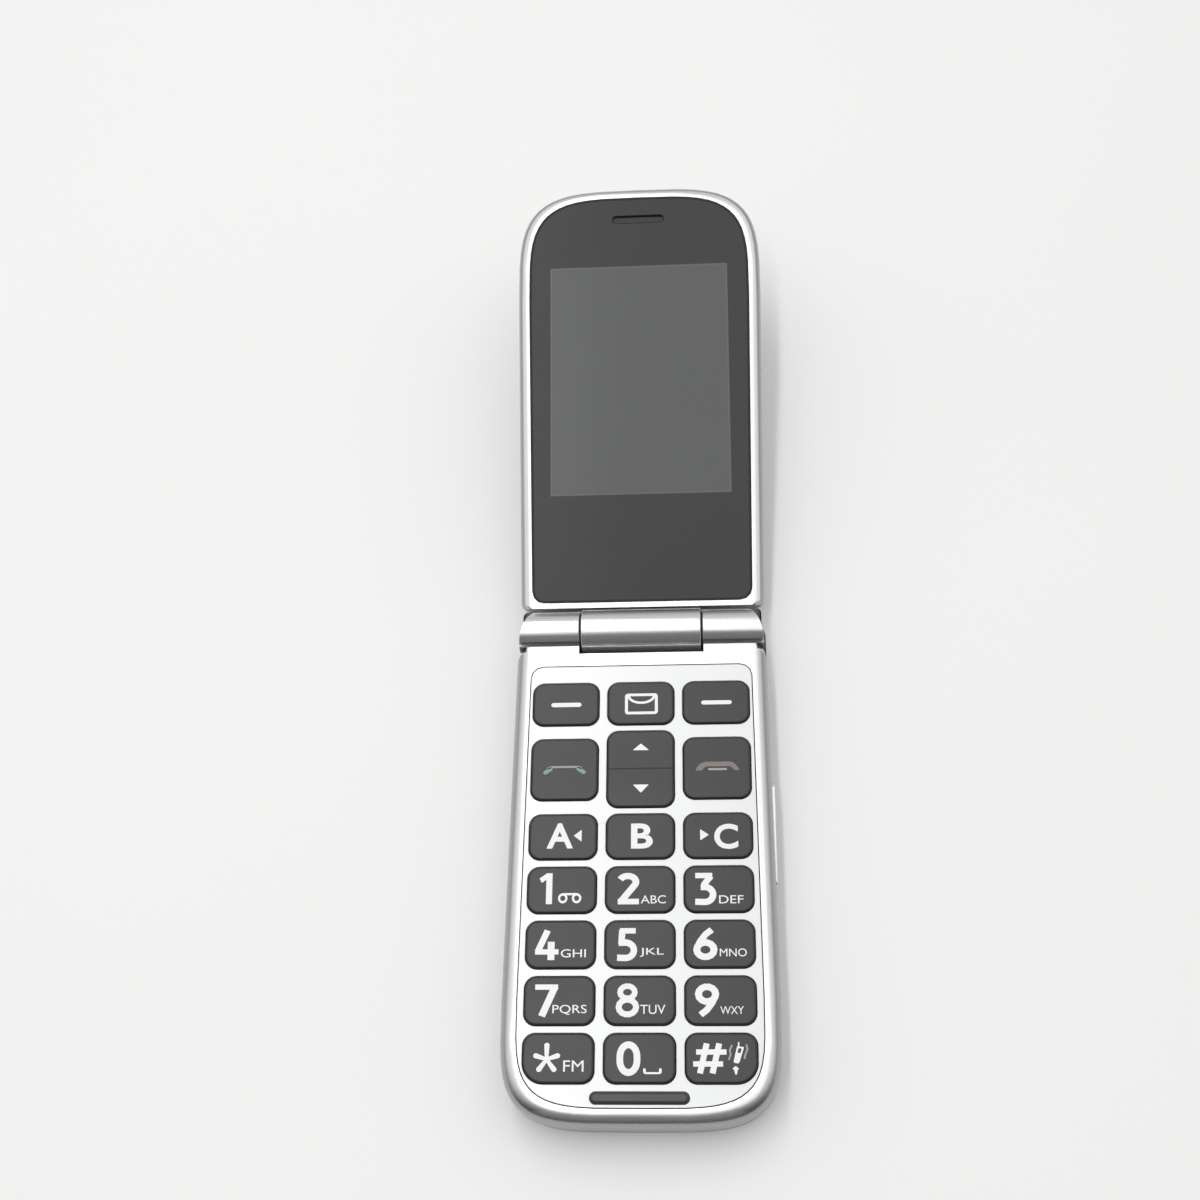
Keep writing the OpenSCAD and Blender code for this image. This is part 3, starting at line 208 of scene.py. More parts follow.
def painted(name, tone, rough, metallic, grain, coat, darker=()):    # lacquer over fine bright flakes
    def varied(place):
        flake = place.noise(grain, 1.0)
        cloud = place.noise(lacquer["cloud"], 1.0)
        face = (cloud * lacquer["cloudGain"] + flake * lacquer["flakeGain"]).centred()
        face = face.shades(tone, lacquer["dark"], lacquer["pale"])
        for mask, share in darker:              # painted shade on the silver and printed marks, each a mask with the share of its tone
            face = mask(place).mix(face, shade(tone, share))
        return {"Base Color": face,
                "Roughness": flake * lacquer["flakeRough"] + cloud * lacquer["cloudRough"] + rough,
                "Metallic": flake * lacquer["flakeMetal"] + metallic,
                "Normal": flake.bump(lacquer["deep"])}
    return material(name, {"Coat Weight": coat, "Coat Roughness": lacquer["coatRough"],
                           "Coat IOR": lacquer["coatIor"]}, varied)


ground = {"gain": 1.2, "dark": 0.86, "pale": 1.08, "lineRough": 0.3, "deep": 0.003}


def metal(name, tone, rough, grain, stretch=1.0):        # drawn or ground metal
    def varied(place):
        along = place.node("ShaderNodeVectorMath", {"operation": "MULTIPLY"},
                           {0: place, 1: (1, stretch, 1)})
        line = along.noise(grain)
        share = (line * ground["gain"]).centred()
        return {"Base Color": share.shades(tone, ground["dark"], ground["pale"]),
                "Roughness": line * ground["lineRough"] + rough,
                "Normal": line.bump(ground["deep"])}
    return material(name, {"Metallic": 1.0}, varied)


hinge = {"place": (0, 48.55, 10.3), "slope": 14.4}       # axis in mm and the open lid's slope
hingeSides = {"left": -1, "right": 1}
lidUp = Vector((0, -math.sin(math.radians(hinge["slope"])), math.cos(math.radians(hinge["slope"]))))


def lidPlace(place):                            # turns a place into x across and y along the lid
    return place.node("ShaderNodeMapping", {"vector_type": "TEXTURE"},
                      {"Vector": place, "Location": [v * mm for v in hinge["place"]],
                       "Rotation": (math.radians(hinge["slope"]), 0, 0)})


silver = {                                      # painted shade and shadow: where the silver is painted darker, in mm
    # painted shade on the base's side walls below the face
    "sideTone": 0.46,
    "baseLevel": 11.88, "baseFade": 0.60, "baseReach": 43.6, "baseBlend": 0.3,
    "endStart": -45.6, "endDrop": 0.30,         # the white rim is wider at the lower end
    "cornerTone": 0.14, "cornerFrom": 23.0, "cornerTo": 24.85,  # painted shadow beside the barrel's outer ends
    "cornerStart": 43.6, "cornerEnd": 45.2, "cornerLevel": 12.1, "cornerFade": 0.2,
    # painted shadow along the barrel's foot
    "footTone": 0.42, "footHalf": 24.1, "footStart": 44.8, "footEnd": 45.5,
    "footLevel": 13.4, "footFade": 0.15,
    # painted shade on the lid's side walls below its face
    "lidLevel": -2.72, "lidFade": 0.30, "lidStart": 5.2,
    "rearTone": 0.42, "rearStart": 51.15, "rearFade": 0.60,      # painted shade on the barrel's back
    # painted shade on the back of the lid's part of the barrel
    "lidRearStart": 3.4, "lidRearFade": 0.5, "lidRearHalf": 12.2,
    "seamTone": 0.05, "seamLevel": -2.50, "seamFade": 0.08,     # painted shadow in the gap between the lid and the barrel
    "seamHalf": 26.0, "seamStart": 3.50, "seamEnd": 5.55,
}


def above(wire, start, fade):                   # 0 up to a place in mm, 1 a little further on
    return ((wire * inMm - start) * (1 / fade)).clamped()


def below(wire, end, fade):
    return ((end - wire * inMm) * (1 / fade)).clamped()


def rectangle(place, halfWidth, start, end, edge):       # 1 inside a rectangle, 0 outside, sizes in mm
    return (below(place.axis(0).maths("ABSOLUTE"), halfWidth, edge)
            * above(place.axis(1), start, edge) * below(place.axis(1), end, edge))


# painted shade: the base's side walls darker below the face, less far up at the lower end
def baseSideShade(place):
    drop = below(place.axis(1), silver["endStart"], silver["baseBlend"]) * silver["endDrop"]
    low = (silver["baseLevel"] - drop - place.axis(2) * inMm) * (1 / silver["baseFade"])
    return low.clamped() * below(place.axis(1), silver["baseReach"], silver["baseBlend"])


# painted shadow on the base beside the barrel's outer ends
def baseCornerShadow(place):
    fade, across = silver["cornerFade"], place.axis(0).maths("ABSOLUTE")
    return (above(across, silver["cornerFrom"], fade)
            * rectangle(place, silver["cornerTo"], silver["cornerStart"], silver["cornerEnd"], fade)
            * below(place.axis(2), silver["cornerLevel"], fade))


def barrelFootShadow(place):                          # painted shadow along the barrel's foot, where it meets the face
    fade = silver["footFade"]
    return (rectangle(place, silver["footHalf"], silver["footStart"], silver["footEnd"], fade)
            * below(place.axis(2), silver["footLevel"], fade))


# painted shade on the back of the barrel's side parts
def barrelBackShade(place):
    return above(place.axis(1), silver["rearStart"], silver["rearFade"])


# painted shade: the lid's side walls darker below its face
def lidSideShade(place):
    spot = lidPlace(place)
    return (below(spot.axis(2), silver["lidLevel"], silver["lidFade"])
            * above(spot.axis(1), silver["lidStart"], silver["lidFade"]))


# painted shade on the back of the lid's part of the barrel
def lidKnuckleShade(place):
    spot = lidPlace(place)
    return (rectangle(spot, silver["lidRearHalf"], silver["lidRearStart"], silver["seamEnd"],
                      silver["lidRearFade"])
            * above(spot.axis(2), silver["lidLevel"], silver["lidFade"]))


# painted shadow in the gap between the lid and the barrel
def lidSeamShadow(place):
    spot, fade = lidPlace(place), silver["seamFade"]
    return (rectangle(spot, silver["seamHalf"], silver["seamStart"], silver["seamEnd"], fade)
            * below(spot.axis(2), silver["seamLevel"], fade))


volumeMarks = {"places": (13.0, -0.3), "level": 7.6, "half": 0.65, "line": 0.13, "edge": 0.03,
               "from": 25.5, "fade": 0.1, "tone": 0.10}


def volumeSign(place):                          # plus towards the hinge, minus at the other end
    deep = above(place.axis(0), volumeMarks["from"], volumeMarks["fade"])
    off = [(place.axis(1) * inMm - y).maths("ABSOLUTE") * mm for y in volumeMarks["places"]]
    high = (place.axis(2) * inMm - volumeMarks["level"]).maths("ABSOLUTE") * mm
    edge, half, line = (volumeMarks[name] for name in ("edge", "half", "line"))
    bars = [below(far, half, edge) * below(high, line, edge) for far in off]
    post = below(off[0], line, edge) * below(high, half, edge)
    return (bars[0] + bars[1] + post).clamped() * deep


window = {
    "halfWidth": 18.8, "start": 29.1, "end": 79.0, "edge": 0.12, "rim": 0.35,
    "mask": (0.010, 0.0105, 0.011), "rimTone": (0.105, 0.108, 0.106),
    "display": (0.085, 0.088, 0.088), "dark": 0.94, "pale": 1.06,
    "cloud": 25.0, "cloudGain": 0.8, "smear": 3.0,
    "rough": 0.06, "smearRough": 0.03, "cloudRough": 0.02,
    "shine": 0.68, "ior": 1.5,
}


def windowLook(place):                          # the display with its rim inside the black mask
    spot = lidPlace(place)
    rim, edge = window["rim"], window["edge"]
    outer = rectangle(spot, window["halfWidth"], window["start"], window["end"], edge)
    inner = rectangle(spot, window["halfWidth"] - rim, window["start"] + rim, window["end"] - rim, edge)
    cloud = place.noise(window["cloud"], 1.0)
    smear = place.noise(window["smear"])
    share = (cloud * window["cloudGain"]).centred()
    pane = share.shades(window["display"], window["dark"], window["pale"])
    return {"Base Color": outer.mix(window["mask"], inner.mix(window["rimTone"], pane)),
            "Roughness": smear * window["smearRough"] + cloud * window["cloudRough"] + window["rough"]}


# the rim tone is painted shade on the keys' rounded edges and sides
keySkin = {"top": 12.4, "rimDeep": 0.06, "rimFade": 0.22, "tone": (0.036, 0.0365, 0.036),
           "rim": (0.010, 0.010, 0.010), "rough": 0.36, "grain": 0.12, "deep": 0.004, "shine": 0.38}


def keyLook(place):                             # satin faces, with painted shade on their rounded rims and sides
    face = mouldedFace(place, keySkin["tone"], keySkin["rough"], keySkin["grain"], keySkin["deep"])
    # painted shade below the key's top face
    rim = below(place.axis(2), keySkin["top"] - keySkin["rimDeep"], keySkin["rimFade"])
    face["Base Color"] = rim.mix(face["Base Color"], keySkin["rim"])
    return face


weave = {"contrast": 3.0, "share": 0.2, "rough": 0.45, "holeRough": 0.3, "deep": 0.05}


def meshLook(pitch, thread, gap):               # punched or woven mesh, pitch in mm
    def varied(place):
        spot = lidPlace(place)
        waves = [(spot.axis(i) * (math.tau / (pitch * mm))).maths("SINE") for i in (0, 1)]
        hole = (waves[0] * waves[1] * weave["contrast"] + weave["share"]).clamped()
        return {"Base Color": hole.mix(thread, gap),
                "Roughness": hole * weave["holeRough"] + weave["rough"],
                "Normal": (hole * -1.0).bump(weave["deep"])}
    return varied


silverPaint = ((0.83, 0.84, 0.83), 0.21, 0.82, 0.10, 0.20)   # tone, roughness, metallic, grain and coat
# the plastics and metals give tone, roughness, grain in mm, and then the grain's depth or a stretch
looks = {
    # the two silvers carry painted shade and shadow on their sides, barrel and seams
    "base_silver_with_painted_shade": painted("base_silver_with_painted_shade", *silverPaint,
                           [(baseSideShade, silver["sideTone"]), (barrelBackShade, silver["rearTone"]),
                            (barrelFootShadow, silver["footTone"]), (baseCornerShadow, silver["cornerTone"])]),
    "lid_silver_with_painted_shade": painted("lid_silver_with_painted_shade", *silverPaint,
                          [(lidSideShade, silver["sideTone"]), (lidKnuckleShade, silver["rearTone"]),
                           (lidSeamShadow, silver["seamTone"])]),
    "panel_white": painted("white_lacquer", (0.85, 0.86, 0.86), 0.30, 0.05, 0.10, 0.10),
    "housing_dark": moulded("dark_shell", (0.040, 0.041, 0.044), 0.36, 0.16, 0.012),
    "key_grey": material("key_satin", {"Specular IOR Level": keySkin["shine"]}, keyLook),
    "seal_black": moulded("seal_black", (0.016, 0.016, 0.017), 0.55, 0.20, 0.006, 0.3),
    "bumper_rubber": moulded("bumper_rubber", (0.036, 0.037, 0.040), 0.42, 0.14, 0.006, 0.6),
    "silicone": moulded("silicone", (0.70, 0.70, 0.68), 0.55, 0.30, 0.010),
    "dome_steel": metal("dome_steel", (0.75, 0.75, 0.73), 0.35, 0.30),
    "board_green": moulded("solder_mask", (0.03, 0.17, 0.07), 0.40, 0.50, 0.010),
    "can_steel": metal("can_steel", (0.68, 0.69, 0.70), 0.33, 0.20),
    "battery_wrap": moulded("battery_wrap", (0.30, 0.33, 0.38), 0.40, 0.40, 0.008),
    "contact_gold": metal("contact_gold", (0.83, 0.62, 0.25), 0.28, 0.20),
    "black_plastic": moulded("black_plastic", (0.030, 0.030, 0.030), 0.45, 0.15, 0.010),
    "weight_metal": metal("weight_metal", (0.35, 0.34, 0.32), 0.50, 0.15),
    "hinge_steel": metal("hinge_steel", (0.62, 0.64, 0.66), 0.28, 0.10, 4.0),
    "hinge_nylon": moulded("hinge_nylon", (0.80, 0.79, 0.75), 0.50, 0.30, 0.008),
    "flex_amber": moulded("flex_amber", (0.70, 0.35, 0.06), 0.35, 0.40, 0.004),
    "screw_steel": metal("screw_steel", (0.35, 0.35, 0.37), 0.40, 0.10),
    "volume_silver": painted("bright_lacquer", (0.86, 0.87, 0.87), 0.20, 0.70, 0.10, 0.30,
                             [(volumeSign, volumeMarks["tone"])]),
    "sos_red": moulded("button_red", (0.58, 0.045, 0.035), 0.40, 0.12, 0.008),
    "window_black": material("window", {"Specular IOR Level": window["shine"], "IOR": window["ior"]},
                             windowLook),
    "display_glass": moulded("display_glass", (0.12, 0.125, 0.125), 0.10, 1.0, 0.001),
    "camera_glass": moulded("camera_glass", (0.018, 0.020, 0.030), 0.06, 1.0, 0.0005),
    "magnet_nickel": metal("magnet_nickel", (0.70, 0.70, 0.68), 0.25, 0.20),
    "earpiece_mesh": material("earpiece_mesh", {},
                              meshLook(0.32, (0.075, 0.076, 0.078), (0.012, 0.012, 0.013))),
    "speaker_cloth": material("speaker_cloth", {},
                              meshLook(0.35, (0.05, 0.05, 0.05), (0.006, 0.006, 0.006))),
    "legend_white": moulded("legend_white", (0.93, 0.94, 0.93), 0.40, 0.20, 0.002),
    "legend_grey": moulded("legend_grey", (0.33, 0.34, 0.33), 0.40, 0.20, 0.002),
    "legend_green": moulded("legend_green", (0.20, 0.34, 0.25), 0.40, 0.20, 0.002),
    "legend_red": moulded("legend_red", (0.22, 0.172, 0.165), 0.40, 0.20, 0.002),
    "legend_rose": moulded("legend_rose", (0.42, 0.36, 0.35), 0.40, 0.20, 0.002),
    "lens": moulded("lens", (0.010, 0.010, 0.035), 0.04, 1.0, 0.0005),
}

slotOf = {part["node"]: part["material_slot"] for part in frame["record"]["subparts"]}
bodyOf = {node: body for body, group in frame["record"]["behaviour"]["bodies"].items()
          for node in group}
ownLook = {"earpiece": "earpiece_mesh", "loudspeaker": "speaker_cloth",
           "front_housing": "base_silver_with_painted_shade", "lid_front_frame": "lid_silver_with_painted_shade"}
for node, thing in nodes.items():
    for entry in thing.material_slots:
        entry.material = looks[ownLook.get(node, slotOf[node])]


def floorLook(place):
    cloud = place.noise(studio["floorCloud"])
    return {"Base Color": cloud.centred().shades(studio["floorTone"], studio["floorDark"],
                                                 studio["floorPale"])}


paper = material("studio_paper", {"Roughness": studio["floorRough"],
                                  "Specular IOR Level": studio["floorShine"]}, floorLook)
sheen = Wire(paper.node_tree, paper.node_tree.nodes["Principled BSDF"].outputs[0])
glow = sheen.node("ShaderNodeEmission", {}, {"Strength": studio["glow"]})
floorPlace = sheen.node("ShaderNodeTexCoord", {}, {}, "Object")
away = sheen.node("ShaderNodeVectorMath", {"operation": "LENGTH"}, {0: floorPlace}, "Value")
rise = ((away - studio["glowStart"]) * (1 / (studio["glowEnd"] - studio["glowStart"]))).clamped()
glowShare = ((rise * (1 - studio["glowShare"]) + studio["glowShare"])
             * sheen.node("ShaderNodeLightPath", {}, {}, "Is Camera Ray"))
blended = sheen.node("ShaderNodeMixShader", {}, {0: glowShare, 1: sheen, 2: glow})
paper.node_tree.links.new(blended.socket, paper.node_tree.nodes["Material Output"].inputs["Surface"])
floor.data.materials.append(paper)

world = bpy.data.worlds.new("studio")
bpy.context.scene.world = world
world.use_nodes = True
sky = Wire(world.node_tree, world.node_tree.nodes.new("ShaderNodeTexCoord").outputs["Generated"])
front = (sky.axis(1) * -studio["frontReach"]).clamped()
sides = sky.axis(0).maths("ABSOLUTE") * studio["sideGain"] + 1
overhead = sky.axis(2).clamped() * studio["skyRise"]
light = (studio["sky"] + overhead) * sides * (1 - front * studio["frontDim"])
seen = sky.node("ShaderNodeLightPath", {}, {}, "Is Camera Ray")
strength = light * (1 - seen) + seen * studio["horizon"]
background = world.node_tree.nodes["Background"]
world.node_tree.links.new(strength.socket, background.inputs["Strength"])
background.inputs["Color"].default_value = (*studio["skyTone"], 1)
print("studio and", len(looks), "materials ready")


fine = {
    "same": 0.01 * mm, "corner": 0.3 * mm,      # distances below which two places are the same
    "merge": 0.0005 * mm, "flat": 0.4,          # for the solids' meshes, flat in degrees
    "facing": 0.9,                              # share of a face's normal along the way it looks
}
smoothing = {"plain": 30, "shell": 32, "round": 40, "turned": 50}    # angles shaded smooth, in degrees


def only(piece):
    bpy.ops.object.select_all(action="DESELECT")
    piece.select_set(True)
    bpy.context.view_layer.objects.active = piece


def choose(piece, kind, test):                  # in edit mode: selects verts, edges or faces by a test
    bpy.ops.mesh.select_mode(type={"verts": "VERT", "edges": "EDGE", "faces": "FACE"}[kind])
    bpy.ops.mesh.select_all(action="DESELECT")
    shape = bmesh.from_edit_mesh(piece.data)
    for part in getattr(shape, kind):
        part.select_set(bool(test(part)))
    bmesh.update_edit_mesh(piece.data)


def near(a, b, gap=fine["same"]):
    return abs(a - b) < gap


def upright(edge, x=None, y=None):              # an edge that stands along z, at a place if one is given
    a, b = (v.co for v in edge.verts)
    return (near(a.x, b.x) and near(a.y, b.y) and not near(a.z, b.z)
            and (x is None or near(a.x, x, fine["corner"]))
            and (y is None or near(a.y, y, fine["corner"])))


def facesUp(face):
    return face.normal.z > fine["facing"]


def roundEdges(width, steps):                   # the chosen edges, in edit mode
    bpy.ops.mesh.bevel(offset=width, offset_type="OFFSET", segments=steps, affect="EDGES")


def copyOf(model, name):                        # a copy with a mesh of its own
    piece = model.copy()
    piece.data = model.data.copy()
    piece.name = piece.data.name = name
    bpy.context.collection.objects.link(piece)
    return piece


def block(name, low, high):                     # a box between two corners in metres, place in its mesh
    bpy.ops.object.select_all(action="DESELECT")
    bpy.ops.mesh.primitive_cube_add(size=1, location=[(a + b) / 2 for a, b in zip(low, high)])
    piece = bpy.context.object
    piece.name = piece.data.name = name
    piece.scale = [b - a for a, b in zip(low, high)]
    bpy.ops.object.transform_apply(location=True, rotation=True, scale=True)
    return piece


def finishPiece(piece, look, body, stands=(), smooth="plain"):
    only(piece)
    bpy.ops.object.shade_smooth_by_angle(angle=math.radians(smoothing[smooth]))
    # keeps flat faces flat beside their rounded edges
    applyModifier(piece, "WEIGHTED_NORMAL", weight=100, keep_sharp=True)
    piece.data.materials.clear()
    piece.data.materials.append(looks[look])
    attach(piece, body)
    if stands:
        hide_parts(*stands)


def shiftMesh(piece, move):
    piece.data.transform(Matrix.Translation(move))


def applyModifier(piece, kind, **settings):
    only(piece)
    added = piece.modifiers.new(kind.lower(), kind)
    for name, value in settings.items():
        setattr(added, name, value)
    bpy.ops.object.modifier_apply(modifier=added.name)


# the solids themselves, with merged corners and softened edges
housings = {
    # node: edge radius in mm
    "front_housing": 0.10, "keypad_panel": 0.11, "rear_housing": 0.12, "battery_cover": 0.18,
    "lid_front_frame": 0.10, "lid_rear_cover": 0.12, "lid_window": 0.38,
    "charging_socket": 0.05, "headset_socket": 0.12, "sos_button": 0.30,
}
softEdge = {"steps": 3, "angle": 40,            # softens edges sharper than this, in degrees
            "held": ("rear_housing", "charging_socket", "headset_socket", "sos_button", "volume_key")}
# where the barrel's parts meet: their ends' places and how far they move apart, in mm, sharp in radians
knuckle = {"edge": 0.20, "steps": 3, "sharp": 0.7, "level": 9.5, "start": 43.0,
           "ends": {"front_housing": (12.3, 0.09), "lid_front_frame": (12.1, -0.11)}}


def mergedCopy(node, name):
    piece = copyOf(nodes[node], name)
    piece.parent = None
    piece.hide_render = piece.hide_viewport = False
    piece.hide_set(False)
    for note in list(piece.keys()):
        del piece[note]
    only(piece)
    bpy.ops.object.mode_set(mode="EDIT")
    bpy.ops.mesh.select_all(action="SELECT")
    bpy.ops.mesh.remove_doubles(threshold=fine["merge"])
    bpy.ops.mesh.dissolve_limited(angle_limit=math.radians(fine["flat"]))
    return piece


def roundKnuckle(piece, end, move):             # rounder where the barrel's parts meet
    for side in (-1, 1):
        choose(piece, "verts", lambda v: near(v.co.x, side * end) and v.co.y > knuckle["start"] * mm)
        bpy.ops.transform.translate(value=(side * move, 0, 0))
    choose(piece, "edges", lambda e: e.calc_face_angle(0) > knuckle["sharp"] and all(
        near(abs(v.co.x), end + move) and v.co.z > knuckle["level"] * mm for v in e.verts))
    roundEdges(knuckle["edge"] * mm, knuckle["steps"])


def refine(node, edge):
    piece = mergedCopy(node, node + "_finish")
    if node in knuckle["ends"]:
        roundKnuckle(piece, *[v * mm for v in knuckle["ends"][node]])
    bpy.ops.object.mode_set(mode="OBJECT")
    applyModifier(piece, "BEVEL", width=edge * mm, segments=softEdge["steps"], limit_method="ANGLE",
                  angle_limit=math.radians(softEdge["angle"]), miter_outer="MITER_ARC",
                  use_clamp_overlap=node in softEdge["held"], harden_normals=False)
    look = ownLook.get(node, slotOf[node])
    finishPiece(piece, look, bodyOf[node], (node,), "shell")


for node, edge in housings.items():
    refine(node, edge)
print("housings refined:", len(housings))

# thin dark beads: painted shade in the gap round the panel, and a painted dark reflection at the edge of
# the window
shadeBeads = {
    # node: name, up, width in mm, side of the outline it lies on
    "keypad_panel": ("panel_gap_shade", Vector((0, 0, 1)), 0.18, 0),
    "lid_window": ("window_edge_shade", lidUp, 0.42, -1),
}
bead = {"proud": 0.004, "topBand": 0.05,
        "wall": 0.3}                            # a side face's normal has less than this of up in it


# a dark bead on the outline of a solid, standing for shade and dark reflection there
def makeShadeBead(node, name, up, width, lies):
    piece = mergedCopy(node, name)
    top = max(v.co.dot(up) for v in piece.data.vertices)
    choose(piece, "faces", lambda f: abs(f.normal.dot(up)) > bead["wall"])
    bpy.ops.mesh.delete(type="FACE")
    widest = max(f.calc_center_median().x for f in bmesh.from_edit_mesh(piece.data).faces)
    choose(piece, "faces", lambda f: near(f.calc_center_median().x, widest))
    bpy.ops.mesh.select_linked()
    bpy.ops.mesh.select_all(action="INVERT")
    bpy.ops.mesh.delete(type="FACE")
    choose(piece, "verts", lambda v: near(v.co.dot(up), top, bead["topBand"] * mm))
    bpy.ops.transform.translate(value=up * bead["proud"] * mm)
    bpy.ops.object.mode_set(mode="OBJECT")
    applyModifier(piece, "SOLIDIFY", thickness=width * mm, offset=lies, use_even_offset=True)
    finishPiece(piece, "seal_black", bodyOf[node])


for node, sizes in shadeBeads.items():
    makeShadeBead(node, *sizes)


def barrelDisc(name, side, sizes):              # a cylinder round the hinge's axis, to one side
    width = (sizes["outer"] - sizes["inner"]) * mm
    bpy.ops.object.select_all(action="DESELECT")
    bpy.ops.mesh.primitive_cylinder_add(
        vertices=sizes["sides"], radius=sizes["radius"] * mm, depth=width,
        location=(side * (sizes["inner"] * mm + width / 2), *[v * mm for v in hinge["place"][1:]]),
        rotation=(0, math.radians(90), 0))
    bpy.ops.object.transform_apply(location=True, rotation=True, scale=True)
    piece = bpy.context.object
    piece.name = piece.data.name = name
    return piece


# dark nylon washers between the parts of the hinge barrel
washer = {"radius": 3.86, "hole": 3.2, "inner": 11.99, "outer": 12.39, "sides": 64}


def makeWasher(name, side):
    piece = barrelDisc(name, side, washer)
    bpy.ops.object.mode_set(mode="EDIT")
    choose(piece, "faces", lambda f: abs(f.normal.x) > fine["facing"])
    bpy.ops.mesh.inset(thickness=(washer["radius"] - washer["hole"]) * mm, depth=0)
    bpy.ops.mesh.bridge_edge_loops()            # opens the hole through both inner faces
    bpy.ops.object.mode_set(mode="OBJECT")
    finishPiece(piece, "seal_black", "base", smooth="round")


for word, side in hingeSides.items():
    makeWasher("hinge_washer_" + word, side)
print("seals and washers:", len(shadeBeads) + len(hingeSides))

# the dark shell that cups the barrel's side parts from below and behind
cradle = {"radius": 4.68, "inner": 12.7, "outer": 24.2, "top": 10.4, "sides": 96,
          "round": 0.9, "roundSteps": 4, "edge": 0.45, "edgeSteps": 3, "angle": 50}


def makeCradle(name, side):
    piece = barrelDisc(name, side, cradle)
    bpy.ops.object.mode_set(mode="EDIT")
    bpy.ops.mesh.select_all(action="SELECT")
    bpy.ops.mesh.bisect(plane_co=(0, 0, cradle["top"] * mm), plane_no=(0, 0, 1),
                        use_fill=True, clear_outer=True)
    choose(piece, "edges", lambda e: all(near(abs(v.co.x), cradle["outer"] * mm) for v in e.verts))
    roundEdges(cradle["round"] * mm, cradle["roundSteps"])
    bpy.ops.object.mode_set(mode="OBJECT")
    applyModifier(piece, "BEVEL", width=cradle["edge"] * mm, segments=cradle["edgeSteps"],
                  limit_method="ANGLE", angle_limit=math.radians(cradle["angle"]))
    finishPiece(piece, "housing_dark", "base", smooth="round")


for word, side in hingeSides.items():
    makeCradle("hinge_cradle_" + word, side)
print("hinge cradles done")

keypad = {
    "lip": 0.4, "lipThick": 0.58, "navLipThick": 0.4, "depth": 2.88, "navDepth": 2.972,
    "corner": 2.2, "outerCorner": 3.8, "cornerSteps": 8, "edge": 0.44, "edgeSteps": 5,
    "stem": 1.6, "stemSides": 24, "navStem": 4.7,
    "grooveHalf": 0.30, "grooveDeep": 0.13, "grooveCap": 0.9, "grooveFace": 0.5,
}
capModels = {}


def modelCap(name, width, length, depth, lipThick, stems, outer):
    lip = keypad["lip"]
    x, y = (width / 2 + lip) * mm, (length / 2 + lip) * mm
    cap = block(name, (-x, -y, -depth * mm), (x, y, (lipThick - depth) * mm))
    bpy.ops.object.mode_set(mode="EDIT")
    for side in (-1, 1):                        # round corners, larger where the housing's end turns
        for end in (-1, 1):
            radius = keypad["outerCorner"] if (side, end) == (outer, -1) else keypad["corner"]
            choose(cap, "edges", lambda e: upright(e, side * x, end * y))
            roundEdges((radius + lip) * mm, keypad["cornerSteps"])
    choose(cap, "faces", facesUp)
    bpy.ops.mesh.inset(thickness=lip * mm, depth=0)
    bpy.ops.mesh.extrude_region_move(
        TRANSFORM_OT_translate={"value": (0, 0, (depth - lipThick) * mm)})
    choose(cap, "faces", lambda f: facesUp(f) and f.calc_center_median().z > -fine["same"])
    bpy.ops.mesh.region_to_loop()
    roundEdges(keypad["edge"] * mm, keypad["edgeSteps"])
    bpy.ops.object.mode_set(mode="OBJECT")
    for stemY, reach in stems:                  # stems down to the domes
        bpy.ops.object.select_all(action="DESELECT")
        bpy.ops.mesh.primitive_cylinder_add(
            vertices=keypad["stemSides"], radius=keypad["stem"] * mm, depth=reach * mm,
            location=(0, stemY * mm, (-depth - reach / 2) * mm))
        stem = bpy.context.object
        bpy.ops.object.transform_apply(location=True, rotation=True, scale=True)
        stem.select_set(True)
        cap.select_set(True)
        bpy.context.view_layer.objects.active = cap
        bpy.ops.object.join()
    return cap


def cutGroove(cap):                             # the line between the two halves of the navigation key
    half, deep = keypad["grooveHalf"] * mm, keypad["grooveDeep"] * mm
    only(cap)
    bpy.ops.object.mode_set(mode="EDIT")
    for y in (-half, 0, half):
        choose(cap, "faces", lambda f: f.calc_center_median().z > -keypad["grooveCap"] * mm)
        bpy.ops.mesh.bisect(plane_co=(0, y, 0), plane_no=(0, 1, 0))
    choose(cap, "verts", lambda v: near(v.co.y, 0) and v.co.z > -keypad["grooveFace"] * mm)
    bpy.ops.transform.translate(value=(0, 0, -deep))
    bpy.ops.object.mode_set(mode="OBJECT")


def makeKey(node):
    low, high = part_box(node)
    lip = keypad["lip"]
    width, length = (high.x - low.x) / mm - 2 * lip, (high.y - low.y) / mm - 2 * lip
    outer = {"key_star": -1, "key_hash": 1}.get(node, 0)
    isNav = node == "key_navigation"
    depth = keypad["navDepth" if isNav else "depth"]
    thick = keypad["navLipThick" if isNav else "lipThick"]
    shape = (round(width, 2), round(length, 2), outer)
    if shape not in capModels:
        reach = (high.z - low.z) / mm - depth
        stems = [(s * keypad["navStem"], reach) for s in (-1, 1)] if isNav else [(0, reach)]
        capModels[shape] = modelCap("cap_model", width, length, depth, thick, stems, outer)
        if isNav:
            cutGroove(capModels[shape])
    cap = copyOf(capModels[shape], node + "_cap")
    shiftMesh(cap, ((low.x + high.x) / 2, (low.y + high.y) / 2, high.z))
    finishPiece(cap, "key_grey", bodyOf[node], (node,), "round")


keyNodes = [node for node in nodes if node.startswith("key_") and slotOf[node] == "key_grey"]
for node in keyNodes:
    makeKey(node)
for model in capModels.values():
    bpy.data.objects.remove(model)
print("keys:", len(keyNodes), "from", len(capModels), "models")

# the signs on the keys are flat inlays in their tops
inlay = {
    "deep": 0.05, "proud": 0.015,               # in mm
    "arcSteps": 14, "textSteps": 5,
    "thick": 0.5, "merge": 0.001,               # while a sign is drawn, in its own units
    "tipRound": 0.13, "tipSteps": 3,            # a triangle's slightly soft corners
}


